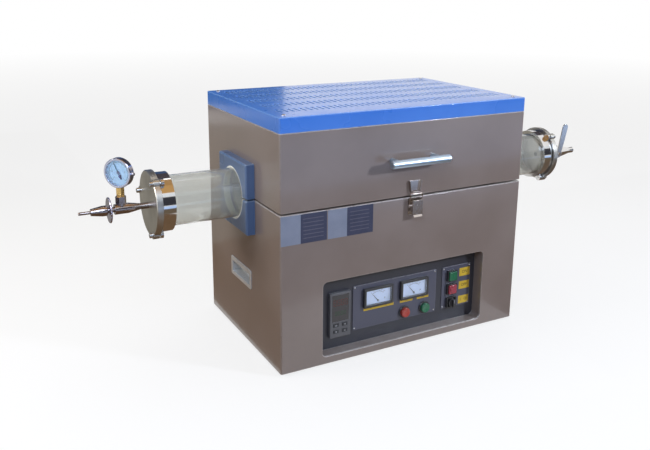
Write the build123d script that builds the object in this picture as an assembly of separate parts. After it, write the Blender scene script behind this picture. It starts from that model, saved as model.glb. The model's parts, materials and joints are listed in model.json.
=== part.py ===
"""Split tube furnace: a hinged box furnace with a quartz work tube, sealing flanges, gas valves and a gauge.

Units are millimetres. X runs along the work tube, the control panel faces -Y, and Z is up.
The pieces are worked out about the casing's middle and set down about the middle of the whole
object's box, so the origin is on the floor under that middle.
"""
from build123d import *
from math import asin, cos, degrees, radians, sin
import os

# ---- casing ---------------------------------------------------------------------------------
casing_w = 572.0           # along the tube
casing_d = 376.0           # front to back
lower_h = 318.0            # lower casing, from its underside to the seam
lid_h = 149.5              # lid walls, from the seam to the cover
cover_h = 29.0             # blue vent cover on the lid
seam_gap = 3.5             # between the lower casing and the lid
sheet = 2.0                # steel sheet thickness
rim_w = 30.0               # turned-in rim at the seam and under the cover
corner_r = 4.0             # bend of the vertical corners
fold_r = 1.5               # bend of the edges along the seam and the top
foot_h = 6.0
foot_r = 16.0
foot_taper = 2.0
foot_inset = 40.0          # foot centre from each outer wall
base_t = 3.0               # base plate
fit = 0.5                  # slack of a piece dropped into a sheet-metal pocket
running = 0.05             # radial slack of a pin that turns in its hole

# ---- vent cover -----------------------------------------------------------------------------
vent_rows = 5
vent_row_pitch = 65.0
vent_row_mid = 10.0        # rows sit a little to the rear
vent_slot_l = 34.0
vent_slot_w = 5.0
vent_slot_pitch = 12.5
vent_margin = 22.0         # plain sheet left at each end of a row
cover_screw_inset_x = 18.0
cover_screw_inset_y = 20.0
cover_post_r = 6.0
cover_screw_r = 2.0
cover_head_r = 4.0
cover_head_h = 2.0

# ---- furnace chamber ------------------------------------------------------------------------
tube_r = 50.0
tube_wall = 3.0
tube_l = 970.0
tube_shift = 23.0          # the tube stands further out on the right
tube_lift_gap = 0.6        # the lid's half clears the tube
bore_r = 54.0              # hole through the casing walls and collar plates
heated_l = 420.0
heater_outer_r = 78.0
heater_inner_r = 60.0
coil_r = 4.0
coil_slack = 0.3
coil_count = 6             # runs in each half
coil_end_gap = 14.0
jumper_r = 1.5
deck_t = 2.0
lower_block_h = 124.0
upper_block_h = 132.0
block_slack = 1.0
collar_size = 143.0        # square collar plate round the tube
collar_t = 19.0
collar_edge = 2.5
thermocouple_r = 3.0
thermocouple_tip_gap = 4.0
thermocouple_tail = 34.0
thermocouple_head_r = 9.0
thermocouple_head_h = 16.0
thermocouple_x = 45.0

# ---- sealing flanges ------------------------------------------------------------------------
flange_collar_r = 58.0
flange_collar_l = 24.0
flange_gap = 2.0
flange_cover_r = 64.0
flange_cover_t = 12.0
flange_edge = 1.5
ear_r = 8.0
ear_at_r = 62.0
ear_first = 50.0           # degrees up from the front
ear_count = 3
flange_screw_r = 3.0
flange_head_r = 5.0
flange_head_h = 6.0
socket_r = 2.5
socket_depth = 3.0
oring_r = 2.5
collar_lip = 3.0
collar_tube_slack = 0.4
port_r = 5.0               # inside radius of the gas ports
port_drop = 4.0            # the ports sit a little below the tube's axis

# ---- inlet line: tee, gauge and needle valve ------------------------------------------------
pipe_r = 6.0
tee_out = 51.0             # tee's middle from the left cover
tee_r = 10.0
tee_half_l = 13.0
tee_cone_l = 22.0
gauge_nut_af = 17.6
gauge_nut_h = 13.5
tee_rise = 11.0            # underside of the gauge nut above the tee axis
gauge_r = 28.5
gauge_depth = 16.0
gauge_front = 7.5          # face ahead of the stem
gauge_back_edge = 4.0      # slope round the rear of the case
gauge_wall = 2.0
gauge_rise = 70.0          # dial centre above the tee axis
gauge_turn = 46.0          # the face is turned towards the left
gauge_stem_side = 11.0
glass_t = 1.2
dial_t = 1.0
dial_drop = 2.6            # dial behind the glass
spindle_r = 1.0
pointer_t = 0.8
pointer_hub_r = 2.6
pointer_l = 20.0
pointer_tail = 9.0
pointer_w = 2.2
gauge_zero = 27.0          # zero stands left of the top
vent_plug_r = 3.0
vent_plug_h = 4.5
wheel_r = 24.5
wheel_t = 3.0
wheel_edge = 0.7
wheel_out = 24.0           # outer face of the handwheel from the tee's middle
wheel_hub_r = 8.0
valve_stem_r = 5.0
needle_body_l = 31.0
needle_body_r = 10.0
needle_end_r = 6.5
barb_r = 3.0
barb_l = 22.0
barb_bore_r = 1.5

# ---- outlet line: ball valve ----------------------------------------------------------------
outlet_nipple_r = 9.0
outlet_nipple_l = 16.0
outlet_hex_af = 30.0
outlet_hex_l = 10.0
ball_body_r = 17.5
ball_body_l = 34.0
nozzle_l = 52.5
nozzle_r = 7.5
nozzle_tip_l = 14.0
nozzle_bore_r = 5.0
stem_boss_r = 9.0
stem_boss_l = 4.0
stem_r = 4.0
lever_l = 69.0
lever_w = 16.0
lever_t = 3.0
lever_lean = 13.0          # the blade leans outwards
lever_eye_r = 9.0

# ---- control recess -------------------------------------------------------------------------
recess_w = 392.0
recess_low = 15.0          # above the casing's underside
recess_h = 157.0
recess_depth = 28.0
recess_r = 10.0
panel_t = 3.0
fascia_t = 1.5
meter_fascia = (-10.0, 91.0, 206.0, 96.0)      # centre x, centre height, width, height
switch_fascia = (147.0, 91.5, 76.0, 95.0)
fascia_r = 2.0
controller_at = (-145.5, 87.0)
controller_w = 48.0
controller_h = 96.0
controller_bezel = 8.0
controller_body_w = 44.0
controller_body_h = 90.0
controller_depth = 75.0
window_w = 38.0
window_h = 56.0
window_drop = 5.0          # top of the window below the top of the bezel
window_t = 1.0
key_w = 12.0
key_h = 7.0
key_pitch_x = 20.0
key_pitch_z = 13.5
key_low = 13.5             # lower key row above the bezel's lower edge
key_proud = 0.9
key_t = 3.0
key_slack = 0.4
key_pocket = 5.0
meter_at = ((-55.0, 108.5), (34.0, 108.5))
meter_w = 70.0
meter_h = 42.0
meter_frame = 5.0
meter_proud = 7.0
meter_body_w = 58.0
meter_body_h = 34.0
meter_body_d = 22.0
meter_spindle_r = 0.8
meter_pointer_l = 19.0
meter_pointer_w = 1.2
meter_pivot_up = 6.0       # pivot above the window's lower edge
meter_swing = 40.0         # pointer at rest, left of upright
round_button_at = ((12.0, 58.5), (63.0, 58.5))
round_button_r = 10.5
round_bezel_r = 13.5
round_bezel_proud = 3.0
round_button_proud = 9.0
square_switch_at = ((133.0, 118.0), (133.0, 87.5), (133.0, 57.0))
square_housing = 25.0
square_button = 20.0
square_proud = 6.0
square_button_proud = 9.5
button_slack = 0.4
button_body_d = 24.0       # housing behind the fascia
button_skirt = 8.0         # cap inside its housing
button_pocket = 14.0
knob_r = 9.5
knob_ridge_w = 5.0
knob_ridge_h = 6.0
knob_base_h = 4.0

# ---- side handles ---------------------------------------------------------------------------
side_handle_y = 6.0
side_handle_z = 143.0      # above the casing's underside
side_handle_w = 109.0
side_handle_h = 41.0
side_handle_t = 1.5
side_handle_frame = 6.0
side_handle_depth = 20.0
side_handle_r = 5.0
grip_drop = 13.0           # grip plate hanging from the upper edge
grip_set_in = 8.0

# ---- lid handle -----------------------------------------------------------------------------
handle_x = 2.0
handle_z = 397.0           # above the casing's underside
handle_r = 8.0
handle_l = 136.0
handle_out = 30.0
handle_edge = 1.5
post_spacing = 96.0
post_r = 6.0

# ---- toggle latch ---------------------------------------------------------------------------
latch_x = 8.0
latch_pivot_z = 312.0      # lever pivot above the casing's underside
latch_pivot_out = 9.0
latch_plate = 1.5
latch_base_w = 28.0
latch_base_low = 281.0
latch_ear_r = 4.0
ear_half = 9.6             # middle of a base ear from the latch's centre
latch_sheet = 1.2
latch_side_slack = 0.3
latch_pin_r = 1.5
bail_drop = 10.0           # bail pivot below the lever pivot
bail_set_in = 4.1          # and behind it
bail_r = 1.4
bail_slack = 0.4
bail_bend_r = 3.0
bail_eye_r = 3.0
bail_eye_w = 3.4
lever_plate_out = 6.0
lever_low = 31.0           # free end of the lever below its pivot
lever_high = 5.0
strike_w = 16.0            # of its hook
strike_low = 3.0           # above the lid's lower edge
strike_h = 28.0
strike_narrow = 22.0       # channel above the hook, at its foot
strike_wide = 29.0         # and at its flared top
strike_deep = 7.0
strike_lip = 6.0

# ---- hinges ---------------------------------------------------------------------------------
hinge_x = 190.0
hinge_w = 70.0
hinge_leaf_h = 34.0
hinge_leaf_t = 2.0
hinge_knuckle_r = 6.0
hinge_pin_r = 3.0
hinge_end_gap = 0.4

# ---- rear and inside ------------------------------------------------------------------------
rear_vent_count = 12
rear_vent_pitch = 12.0
rear_vent_w = 4.0
rear_vent_h = 46.0
rear_vent_z = 120.0
gland_in_x = 76.0          # gland from the right side wall
gland_z = 62.0
gland_bore_r = 5.5
gland_body_r = 10.0
gland_hex_af = 24.0
gland_hex_l = 6.0
gland_out = 22.0
gland_nut_l = 5.0
gland_in = 12.0
sink_at = (120.0, 70.0)
sink_w = 80.0
sink_d = 96.0
sink_h = 34.0
sink_fins = 7
sink_fin_t = 3.0
sink_web = 8.0
relay_w = 45.0
relay_d = 58.0
relay_h = 24.0

# ---- places worked out from the sizes above -------------------------------------------------
half_w = casing_w / 2
half_d = casing_d / 2
front_y = -half_d
lower_top = foot_h + lower_h
lid_low = lower_top + seam_gap
lid_top = lid_low + lid_h
cover_top = lid_top + cover_h
axis_z = (lower_top + lid_low) / 2
deck_top = lower_top - lower_block_h
tube_x = (tube_shift - tube_l / 2, tube_shift + tube_l / 2)
port_z = axis_z - port_drop
panel_y = front_y + recess_depth
fascia_y = panel_y - fascia_t
hinge_y = half_d + hinge_knuckle_r + hinge_end_gap
flange_faces = (tube_x[0] - flange_gap, tube_x[1] + flange_gap)     # inner faces of the covers
tee_x = flange_faces[0] - flange_cover_t - tee_out
wheel_x = tee_x - wheel_out
gland_x = half_w - gland_in_x
OVER = 5.0                 # how far a cutting solid runs past what it cuts


# ---- plain shapes ---------------------------------------------------------------------------
def slab(x, y, z):
    """A box given by its low and high side along each axis."""
    centre = Pos((x[0] + x[1]) / 2, (y[0] + y[1]) / 2, (z[0] + z[1]) / 2)
    return centre * Box(x[1] - x[0], y[1] - y[0], z[1] - z[0])


def around(middle, size):
    """The low and high side of a size about its middle."""
    return (middle - size / 2, middle + size / 2)


def rod_x(radius, x, y=0.0, z=0.0):
    return Pos((x[0] + x[1]) / 2, y, z) * Rot(0, 90, 0) * Cylinder(radius, x[1] - x[0])


def rod_y(radius, y, x=0.0, z=0.0):
    return Pos(x, (y[0] + y[1]) / 2, z) * Rot(90, 0, 0) * Cylinder(radius, y[1] - y[0])


def rod_z(radius, z, x=0.0, y=0.0):
    return Pos(x, y, (z[0] + z[1]) / 2) * Cylinder(radius, z[1] - z[0])


def plate_xz(x, z, y, radius):
    """A plate that faces the front, with rounded corners."""
    outline = Pos((x[0] + x[1]) / 2, (z[0] + z[1]) / 2) * RectangleRounded(x[1] - x[0], z[1] - z[0], radius)
    return Pos(0, y[1], 0) * Rot(90, 0, 0) * extrude(outline, y[1] - y[0])


def turned_x(points, y=0.0, z=0.0):
    """A turned piece: its (position, radius) profile carried round an axis along X."""
    outline = make_face(Polyline(*points, close=True))
    return Pos(0, y, z) * revolve(outline, Axis.X)


def turned_y(points, x=0.0, z=0.0):
    """The same round an axis along Y: each point is (radius, position)."""
    outline = make_face(Polyline(*points, close=True))
    return Pos(x, 0, z) * revolve(outline, Axis.Y)


def side_plate(points, x):
    """A plate seen from the side: an outline of (y, z) points, between two places along X."""
    outline = Plane.YZ * make_face(Polyline(*points, close=True))
    return Pos(x[0], 0, 0) * extrude(outline, x[1] - x[0])


def hex_x(across_flats, x, y=0.0, z=0.0):
    outline = RegularPolygon(across_flats / 2, 6, major_radius=False)
    return Pos(x[0], y, z) * Rot(0, 90, 0) * extrude(outline, x[1] - x[0])


def group(*solids):
    """Separate solids of one kind, kept in one file."""
    return Compound(list(solids))


# ---- sheet-metal boxes ----------------------------------------------------------------------
def box_walls(low, high):
    """Four sheet walls with bent vertical corners, open above and below."""
    outer = extrude(Pos(0, 0, low) * RectangleRounded(casing_w, casing_d, corner_r), high - low)
    inner_w = casing_w - 2 * sheet
    inner_d = casing_d - 2 * sheet
    hollow = Pos(0, 0, low - OVER) * RectangleRounded(inner_w, inner_d, corner_r - sheet)
    return outer - extrude(hollow, high - low + 2 * OVER)


def rim(low, width):
    """The turned-in flange of a sheet box."""
    outer = extrude(Pos(0, 0, low) * RectangleRounded(casing_w, casing_d, corner_r), sheet)
    opening_w = casing_w - 2 * sheet - 2 * width
    opening_d = casing_d - 2 * sheet - 2 * width
    return outer - extrude(Pos(0, 0, low - OVER) * Rectangle(opening_w, opening_d), sheet + 2 * OVER)


def folded(shell, low, high, rolled):
    """Trims a sheet box to the bends along its rolled-over ends, given as 0 for its foot and -1 for its top."""
    block = extrude(Pos(0, 0, low) * RectangleRounded(casing_w, casing_d, corner_r), high - low)
    for end in rolled:
        block = fillet(block.faces().sort_by(Axis.Z)[end].edges(), fold_r)
    return shell & block


def tube_passage():
    return rod_x(bore_r, (-half_w - OVER, half_w + OVER), z=axis_z)


def recess_sides():
    x = around(0.0, recess_w)
    z = (foot_h + recess_low, foot_h + recess_low + recess_h)
    return x, z


def side_handle_sides():
    y = around(side_handle_y, side_handle_w)
    z = around(foot_h + side_handle_z, side_handle_h)
    return y, z


def lower_casing():
    shell = box_walls(foot_h, lower_top) + rim(lower_top - sheet, rim_w)
    shell = folded(shell, foot_h, lower_top, [-1]) - tube_passage()
    x, z = recess_sides()
    shell -= plate_xz(x, z, (front_y - OVER, front_y + sheet + OVER), recess_r)
    y, z = side_handle_sides()
    frame = side_handle_frame
    pocket_y = (y[0] + frame - fit, y[1] - frame + fit)
    pocket_z = (z[0] + frame - fit, z[1] - frame + fit)
    shell -= slab((-half_w - OVER, half_w + OVER), pocket_y, pocket_z)
    vent = slab(around(0.0, rear_vent_w), (half_d - sheet - OVER, half_d + OVER), around(rear_vent_z, rear_vent_h))
    shell -= [Pos(place.X, 0, 0) * vent for place in
              [spot.position for spot in GridLocations(rear_vent_pitch, 0, rear_vent_count, 1)]]
    shell -= rod_y(gland_body_r, (half_d - sheet - OVER, half_d + OVER), gland_x, gland_z)
    return shell


def base_plate():
    plate = slab(around(0.0, casing_w - 2 * sheet - 2 * fit), around(0.0, casing_d - 2 * sheet - 2 * fit),
                 (foot_h, foot_h + base_t))
    return fillet(plate.edges().filter_by(Axis.Z), corner_r - sheet)


def rubber_feet():
    foot = Cone(foot_r - foot_taper, foot_r, foot_h)
    spread_x = casing_w - 2 * foot_inset
    spread_y = casing_d - 2 * foot_inset
    return group(*[Pos(0, 0, foot_h / 2) * place * foot for place in GridLocations(spread_x, spread_y, 2, 2)])


def lower_deck():
    """The shelf that carries the lower insulation, with its front and rear edges turned down."""
    x = around(0.0, casing_w - 2 * sheet)
    y = around(0.0, casing_d - 2 * sheet)
    top = (deck_top - deck_t, deck_top)
    apron = (deck_top - 4 * OVER, deck_top - deck_t)
    shelf = slab(x, y, top) + slab(x, (y[0], y[0] + deck_t), apron) + slab(x, (y[1] - deck_t, y[1]), apron)
    shelf = shelf & extrude(Rectangle(casing_w - 2 * corner_r, casing_d), lower_top)
    return shelf - rod_z(thermocouple_r + fit, (deck_top - deck_t - OVER, deck_top + OVER), thermocouple_x)


def lid_shell():
    shell = box_walls(lid_low, lid_top) + rim(lid_low, rim_w) + rim(lid_top - sheet, rim_w)
    shell = folded(shell, lid_low, lid_top, [0, -1]) - tube_passage()
    post = Cylinder(cover_post_r, cover_h - sheet) - Cylinder(cover_screw_r, cover_h)
    middle = lid_top + (cover_h - sheet) / 2
    for place in cover_corners():
        shell += Pos(0, 0, middle) * place * post
    return shell


def cover_corners():
    return GridLocations(casing_w - 2 * cover_screw_inset_x, casing_d - 2 * cover_screw_inset_y, 2, 2)


def top_cover():
    cover = extrude(Pos(0, 0, lid_top) * RectangleRounded(casing_w, casing_d, corner_r), cover_h)
    hollow = RectangleRounded(casing_w - 2 * sheet, casing_d - 2 * sheet, corner_r - sheet)
    cover -= extrude(Pos(0, 0, lid_top - OVER) * hollow, cover_h - sheet + OVER)
    cover = folded(cover, lid_top, cover_top, [-1])
    count = int((casing_w - 2 * vent_margin) / vent_slot_pitch)
    slots = Pos(0, vent_row_mid) * GridLocations(vent_slot_pitch, vent_row_pitch, count, vent_rows)
    holes = Sketch() + [place * Rectangle(vent_slot_w, vent_slot_l) for place in slots]
    cover -= extrude(Pos(0, 0, cover_top - sheet - OVER) * holes, sheet + 2 * OVER)
    screw_hole = Cylinder(cover_screw_r, 2 * cover_h)
    return cover - [Pos(0, 0, cover_top) * place * screw_hole for place in cover_corners()]


def cover_screws():
    head = Cylinder(cover_head_r, cover_head_h, align=(Align.CENTER, Align.CENTER, Align.MIN))
    head = chamfer(head.faces().sort_by(Axis.Z)[-1].edges(), cover_head_h / 2)
    shank = Cylinder(cover_screw_r, cover_h / 2, align=(Align.CENTER, Align.CENTER, Align.MAX))
    return group(*[Pos(0, 0, cover_top) * place * (head + shank) for place in cover_corners()])


# ---- insulation, heaters and tube -----------------------------------------------------------
def heater_half(outer, inner, length, upper):
    """Half of a hollow cylinder about the tube's axis, above or below the seam."""
    x = around(0.0, length)
    ring = rod_x(outer, x, z=axis_z) - rod_x(inner, (x[0] - OVER, x[1] + OVER), z=axis_z)
    z = (lid_low, axis_z + outer + OVER) if upper else (axis_z - outer - OVER, lower_top)
    return ring & slab((x[0] - OVER, x[1] + OVER), around(0.0, 2 * outer + OVER), z)


def insulation(upper):
    """Ceramic-fibre block: it fills the casing, steps up through the rim and is bored for the tube."""
    wide = around(0.0, casing_w - 2 * sheet - 2 * block_slack)
    deep = around(0.0, casing_d - 2 * sheet - 2 * block_slack)
    step_x = around(0.0, casing_w - 2 * sheet - 2 * rim_w - 2 * block_slack)
    step_y = around(0.0, casing_d - 2 * sheet - 2 * rim_w - 2 * block_slack)
    if upper:
        block = slab(wide, deep, (lid_low + sheet, lid_low + upper_block_h))
        block += slab(step_x, step_y, (lid_low, lid_low + sheet))
    else:
        block = slab(wide, deep, (deck_top, lower_top - sheet))
        block += slab(step_x, step_y, (lower_top - sheet, lower_top))
    seat = tube_r + tube_lift_gap if upper else tube_r
    block -= rod_x(seat, (-half_w, half_w), z=axis_z)
    block -= rod_x(heater_outer_r, around(0.0, heated_l), z=axis_z)
    if not upper:
        block -= thermocouple_hole()
    return block


def thermocouple_hole():
    return rod_z(thermocouple_r + fit, (deck_top - OVER, axis_z), thermocouple_x)


def coil_places(upper):
    """Each coil run's (y, z), evenly spread round its half of the chamber."""
    step = 180.0 / coil_count
    first = step / 2 if upper else 180.0 + step / 2
    angles = [radians(first + step * run) for run in range(coil_count)]
    return [(heater_inner_r * cos(angle), axis_z + heater_inner_r * sin(angle)) for angle in angles]


def coil_jumpers(upper, radius):
    """Straight links between neighbouring coil runs, at alternate ends."""
    reach = heated_l / 2 - coil_end_gap - coil_r
    places = coil_places(upper)
    links = []
    for run in range(coil_count - 1):
        end = reach * (1 if run % 2 else -1)
        start, stop = Vector(end, *places[run]), Vector(end, *places[run + 1])
        section = Plane(origin=start, z_dir=stop - start) * Circle(radius)
        links.append(extrude(section, (stop - start).length))
    return links


def heater_shell(upper):
    """Moulded half shell with one groove for each run of the coil and a notch for each jumper."""
    shell = heater_half(heater_outer_r, heater_inner_r, heated_l, upper)
    reach = heated_l / 2 - coil_end_gap + coil_slack
    grooves = [rod_x(coil_r + coil_slack, (-reach, reach), y, z) for y, z in coil_places(upper)]
    shell -= grooves + coil_jumpers(upper, jumper_r + coil_slack)
    if not upper:
        shell -= thermocouple_hole()
    return shell


def heating_coils(upper):
    """The coil runs, joined in series by jumpers at alternate ends."""
    reach = heated_l / 2 - coil_end_gap
    runs = [rod_x(coil_r, (-reach, reach), y, z) for y, z in coil_places(upper)]
    return Part() + runs + coil_jumpers(upper, jumper_r)


def quartz_tube():
    return rod_x(tube_r, tube_x, z=axis_z) - rod_x(tube_r - tube_wall, (tube_x[0] - OVER, tube_x[1] + OVER), z=axis_z)


def thermocouple():
    tip = axis_z - tube_r - thermocouple_tip_gap
    low = deck_top - deck_t - thermocouple_tail
    probe = rod_z(thermocouple_r, (low, tip), thermocouple_x)
    return probe + rod_z(thermocouple_head_r, (low - thermocouple_head_h, low), thermocouple_x)


def collar_plates(upper):
    """The blue half plates that ring the tube on both side walls."""
    z = (lid_low, axis_z + collar_size / 2) if upper else (axis_z - collar_size / 2, lower_top)
    plates = []
    for side in (-1, 1):
        x = sorted((side * half_w, side * (half_w + collar_t)))
        plate = slab(x, around(0.0, collar_size), z)
        outer = plate.faces().sort_by(Axis.X)[0 if side < 0 else -1]
        plate = chamfer(outer.edges(), collar_edge)
        plates.append(plate - tube_passage_through_plates())
    return group(*plates)


def tube_passage_through_plates():
    reach = half_w + collar_t + OVER
    return rod_x(bore_r, (-reach, reach), z=axis_z)


# ---- sealing flanges ------------------------------------------------------------------------
def ear_places(radius):
    """The ears' (y, z) on a circle, counted up from the front."""
    angles = [radians(ear_first + 360.0 / ear_count * ear) for ear in range(ear_count)]
    return [(-radius * cos(angle), axis_z + radius * sin(angle)) for angle in angles]


def sided(face, depth, side):
    """A stretch along X that starts at a flange face and runs outwards by depth."""
    return tuple(sorted((face, face + side * depth)))


def with_ears(disc, x):
    for y, z in ear_places(ear_at_r):
        disc += rod_x(ear_r, x, y, z)
    return disc


def flange_collars():
    """The clamp rings that grip the tube's ends, with a pocket for the O-ring."""
    collars = []
    for face, side in zip(tube_x, (-1, 1)):
        body = sided(face, -flange_collar_l, side)
        ring = rod_x(flange_collar_r, body, z=axis_z)
        ears = sided(face, -flange_cover_t / 2, side)
        ring = with_ears(ring, ears)
        ring -= rod_x(tube_r + collar_tube_slack, (body[0] - OVER, body[1] + OVER), z=axis_z)
        pocket = sided(face, -2 * oring_r - flange_gap, side)
        ring -= rod_x(tube_r + 2 * oring_r, pocket, z=axis_z)
        for y, z in ear_places(ear_at_r):
            ring -= rod_x(flange_screw_r, (ears[0] - OVER, ears[1] + OVER), y, z)
        collars.append(ring)
    return group(*collars)


def flange_covers():
    """The end covers, with a central gas port and three ears for the screws."""
    covers = []
    for face, side in zip(flange_faces, (-1, 1)):
        body = sided(face, flange_cover_t, side)
        disc = rod_x(flange_cover_r, body, z=axis_z)
        outer = disc.faces().sort_by(Axis.X)[0 if side < 0 else -1]
        disc = with_ears(chamfer(outer.edges(), flange_edge), body)
        gland = sided(face, -flange_gap, side)
        disc += rod_x(tube_r + 2 * oring_r - fit, gland, z=axis_z)
        reach = (min(body[0], gland[0]) - OVER, max(body[1], gland[1]) + OVER)
        disc -= rod_x(port_r, reach, z=port_z)
        for y, z in ear_places(ear_at_r):
            disc -= rod_x(flange_screw_r, reach, y, z)
        covers.append(disc)
    return group(*covers)


def flange_orings():
    rings = []
    for face, side in zip(tube_x, (-1, 1)):
        x = face - side * (flange_gap + oring_r)
        section = Plane(origin=(x, 0, axis_z + tube_r + oring_r), z_dir=(0, 1, 0)) * Circle(oring_r)
        rings.append(revolve(section, Axis((x, 0, axis_z), (1, 0, 0))))
    return group(*rings)


def flange_screws():
    screws = []
    for face, side in zip(flange_faces, (-1, 1)):
        outer = face + side * flange_cover_t
        for y, z in ear_places(ear_at_r):
            head = rod_x(flange_head_r, sided(outer, flange_head_h, side), y, z)
            socket = sided(outer + side * (flange_head_h - socket_depth), socket_depth + OVER, side)
            head -= hex_x(2 * socket_r, socket, y, z)
            shank = sided(outer, -(flange_cover_t + flange_gap + flange_cover_t / 2), side)
            screws.append(head + rod_x(flange_screw_r, shank, y, z))
    return group(*screws)


# ---- inlet line -----------------------------------------------------------------------------
def inlet_tee():
    """Pipe stub, cone and tee in one solid fitting, with a hexagon nut under the gauge."""
    cover_face = flange_faces[0] - flange_cover_t
    left = tee_x - tee_half_l
    right = tee_x + tee_half_l
    body = turned_x([(left, 0), (left, tee_r), (right, tee_r), (right + tee_cone_l, pipe_r),
                     (cover_face, pipe_r), (cover_face, 0)], z=port_z)
    nut_low = port_z + tee_rise
    body += rod_z(tee_r - 1.5, (port_z, nut_low), tee_x)
    nut = RegularPolygon(gauge_nut_af / 2, 6, major_radius=False)
    return body + extrude(Pos(tee_x, 0, nut_low) * nut, gauge_nut_h)


def gauge_frame():
    """The gauge's own place: its origin at the dial's centre, facing its -Y."""
    return Pos(tee_x, 0, port_z + gauge_rise) * Rot(0, 0, -gauge_turn)


def gauge_stem():
    nut_top = port_z + tee_rise + gauge_nut_h
    reach = port_z + gauge_rise - gauge_r + gauge_wall / 2
    side = around(0.0, gauge_stem_side)
    stem = Pos(tee_x, 0, 0) * Rot(0, 0, -gauge_turn) * slab(side, side, (nut_top, reach))
    return stem


def gauge_case():
    """Pressed steel case with its bezel; the dial and the glass sit inside."""
    back = gauge_depth - gauge_front
    bezel = gauge_r - 2 * gauge_wall
    inside = gauge_r - gauge_wall
    profile = [(0, back), (gauge_r - gauge_back_edge, back), (gauge_r, back - gauge_back_edge),
               (gauge_r, -gauge_front + 1.0),
               (gauge_r - 1.0, -gauge_front), (bezel, -gauge_front), (bezel, -gauge_front + gauge_wall),
               (inside, -gauge_front + gauge_wall), (inside, back - 2 * gauge_wall), (0, back - 2 * gauge_wall)]
    case = turned_y(profile)
    plug = rod_x(vent_plug_r, (gauge_r - gauge_wall / 2, gauge_r + vent_plug_h), y=-gauge_wall)
    case += plug
    nut_side = around(0.0, gauge_stem_side)
    flat = slab(nut_side, nut_side, (-gauge_r - OVER, -gauge_r + gauge_wall / 2))
    return gauge_frame() * (case - flat)


def glass_depths():
    """Front and rear of the gauge's glass, ahead of the dial's centre."""
    front = -gauge_front + gauge_wall
    return front, front + glass_t


def dial_depths():
    front = glass_depths()[1] + dial_drop
    return front, front + dial_t


def gauge_dial():
    front, rear = dial_depths()
    dial = rod_y(gauge_r - gauge_wall, (front, rear))
    dial += rod_y(gauge_r - 2 * gauge_wall, (rear, gauge_depth - gauge_front - 2 * gauge_wall))
    dial += rod_y(spindle_r, (front - 2 * pointer_t, front))
    return gauge_frame() * dial


def needle(length, tail, width, hub, bore, y):
    """A tapered pointer on its hub, upright about the origin, with a bore for the spindle."""
    outline = make_face(Polyline((-width / 2, -tail), (width / 2, -tail), (width / 2, 0), (0.3, length),
                                 (-0.3, length), (-width / 2, 0), close=True))
    blade = Pos(0, y + pointer_t, 0) * Rot(90, 0, 0) * extrude(outline, pointer_t)
    return blade + rod_y(hub, (y, y + pointer_t)) - rod_y(bore, (y - OVER, y + pointer_t + OVER))


def gauge_pointer():
    y = dial_depths()[0] - 2 * pointer_t + 0.3
    pointer = needle(pointer_l, pointer_tail, pointer_w, pointer_hub_r, spindle_r + running, y)
    return gauge_frame() * Rot(0, -gauge_zero, 0) * pointer


def needle_valve():
    """Valve body, its in-line stem through the handwheel, and the hose stub."""
    tee_end = tee_x - tee_half_l
    body_right = wheel_x - wheel_t / 2
    body_left = body_right - needle_body_l
    tip = body_left - barb_l
    profile = [(tip, barb_bore_r), (tip, barb_r - 0.6), (tip + 1.0, barb_r), (body_left, barb_r),
               (body_left, needle_end_r), (body_right - needle_body_r, needle_body_r),
               (body_right - 2.0, needle_body_r), (body_right, needle_end_r), (body_right, valve_stem_r),
               (tee_end, valve_stem_r), (tee_end, 0), (body_left, 0), (body_left, barb_bore_r)]
    return turned_x(profile, z=port_z)


def handwheel():
    """Thin knurled wheel on the in-line stem."""
    low = wheel_x
    high = wheel_x + wheel_t
    slack = valve_stem_r + running
    hub_end = high + 2.5
    edge = wheel_edge
    profile = [(low, slack), (low, wheel_r - edge), (low + edge, wheel_r), (high - edge, wheel_r),
               (high, wheel_r - edge), (high, wheel_hub_r), (hub_end, wheel_hub_r), (hub_end, slack)]
    wheel = turned_x(profile, z=port_z)
    notches = PolarLocations(wheel_r + 0.9, 20)
    cut = Sketch() + [place * Circle(1.8) for place in notches]
    return wheel - Pos(low - OVER, 0, port_z) * Rot(0, 90, 0) * extrude(cut, wheel_t + 2 * OVER)


# ---- outlet line ----------------------------------------------------------------------------
def ball_valve_x():
    """Where the valve's pieces start along X: cover, hex, body, nozzle and tip."""
    cover = flange_faces[1] + flange_cover_t
    hexagon = cover + outlet_nipple_l
    body = hexagon + outlet_hex_l
    nozzle = body + ball_body_l
    return cover, hexagon, body, nozzle, nozzle + nozzle_l


def ball_valve():
    """Nipple, hexagon, round body and tapered hose nozzle, with the stem boss towards the front."""
    cover, hexagon, body, nozzle, tip = ball_valve_x()
    shoulder = ball_body_r - 5.0
    profile = [(cover, 0), (cover, outlet_nipple_r), (hexagon, outlet_nipple_r), (hexagon, outlet_nipple_r + 3),
               (body, shoulder), (body + 6, ball_body_r), (nozzle - 6, ball_body_r), (nozzle, ball_body_r - 2),
               (tip - nozzle_tip_l, nozzle_r), (tip - 1.5, nozzle_r), (tip, nozzle_r - 1.5), (tip, nozzle_bore_r),
               (nozzle, nozzle_bore_r), (nozzle, 0)]
    valve = turned_x(profile, z=port_z)
    valve += hex_x(outlet_hex_af, (hexagon, body), z=port_z)
    middle = body + ball_body_l / 2
    boss_end = -ball_body_r - stem_boss_l
    valve += rod_y(stem_boss_r, (boss_end, 0), middle, port_z)
    return valve + rod_y(stem_r, (boss_end - lever_t - 3.0, boss_end), middle, port_z)


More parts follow.
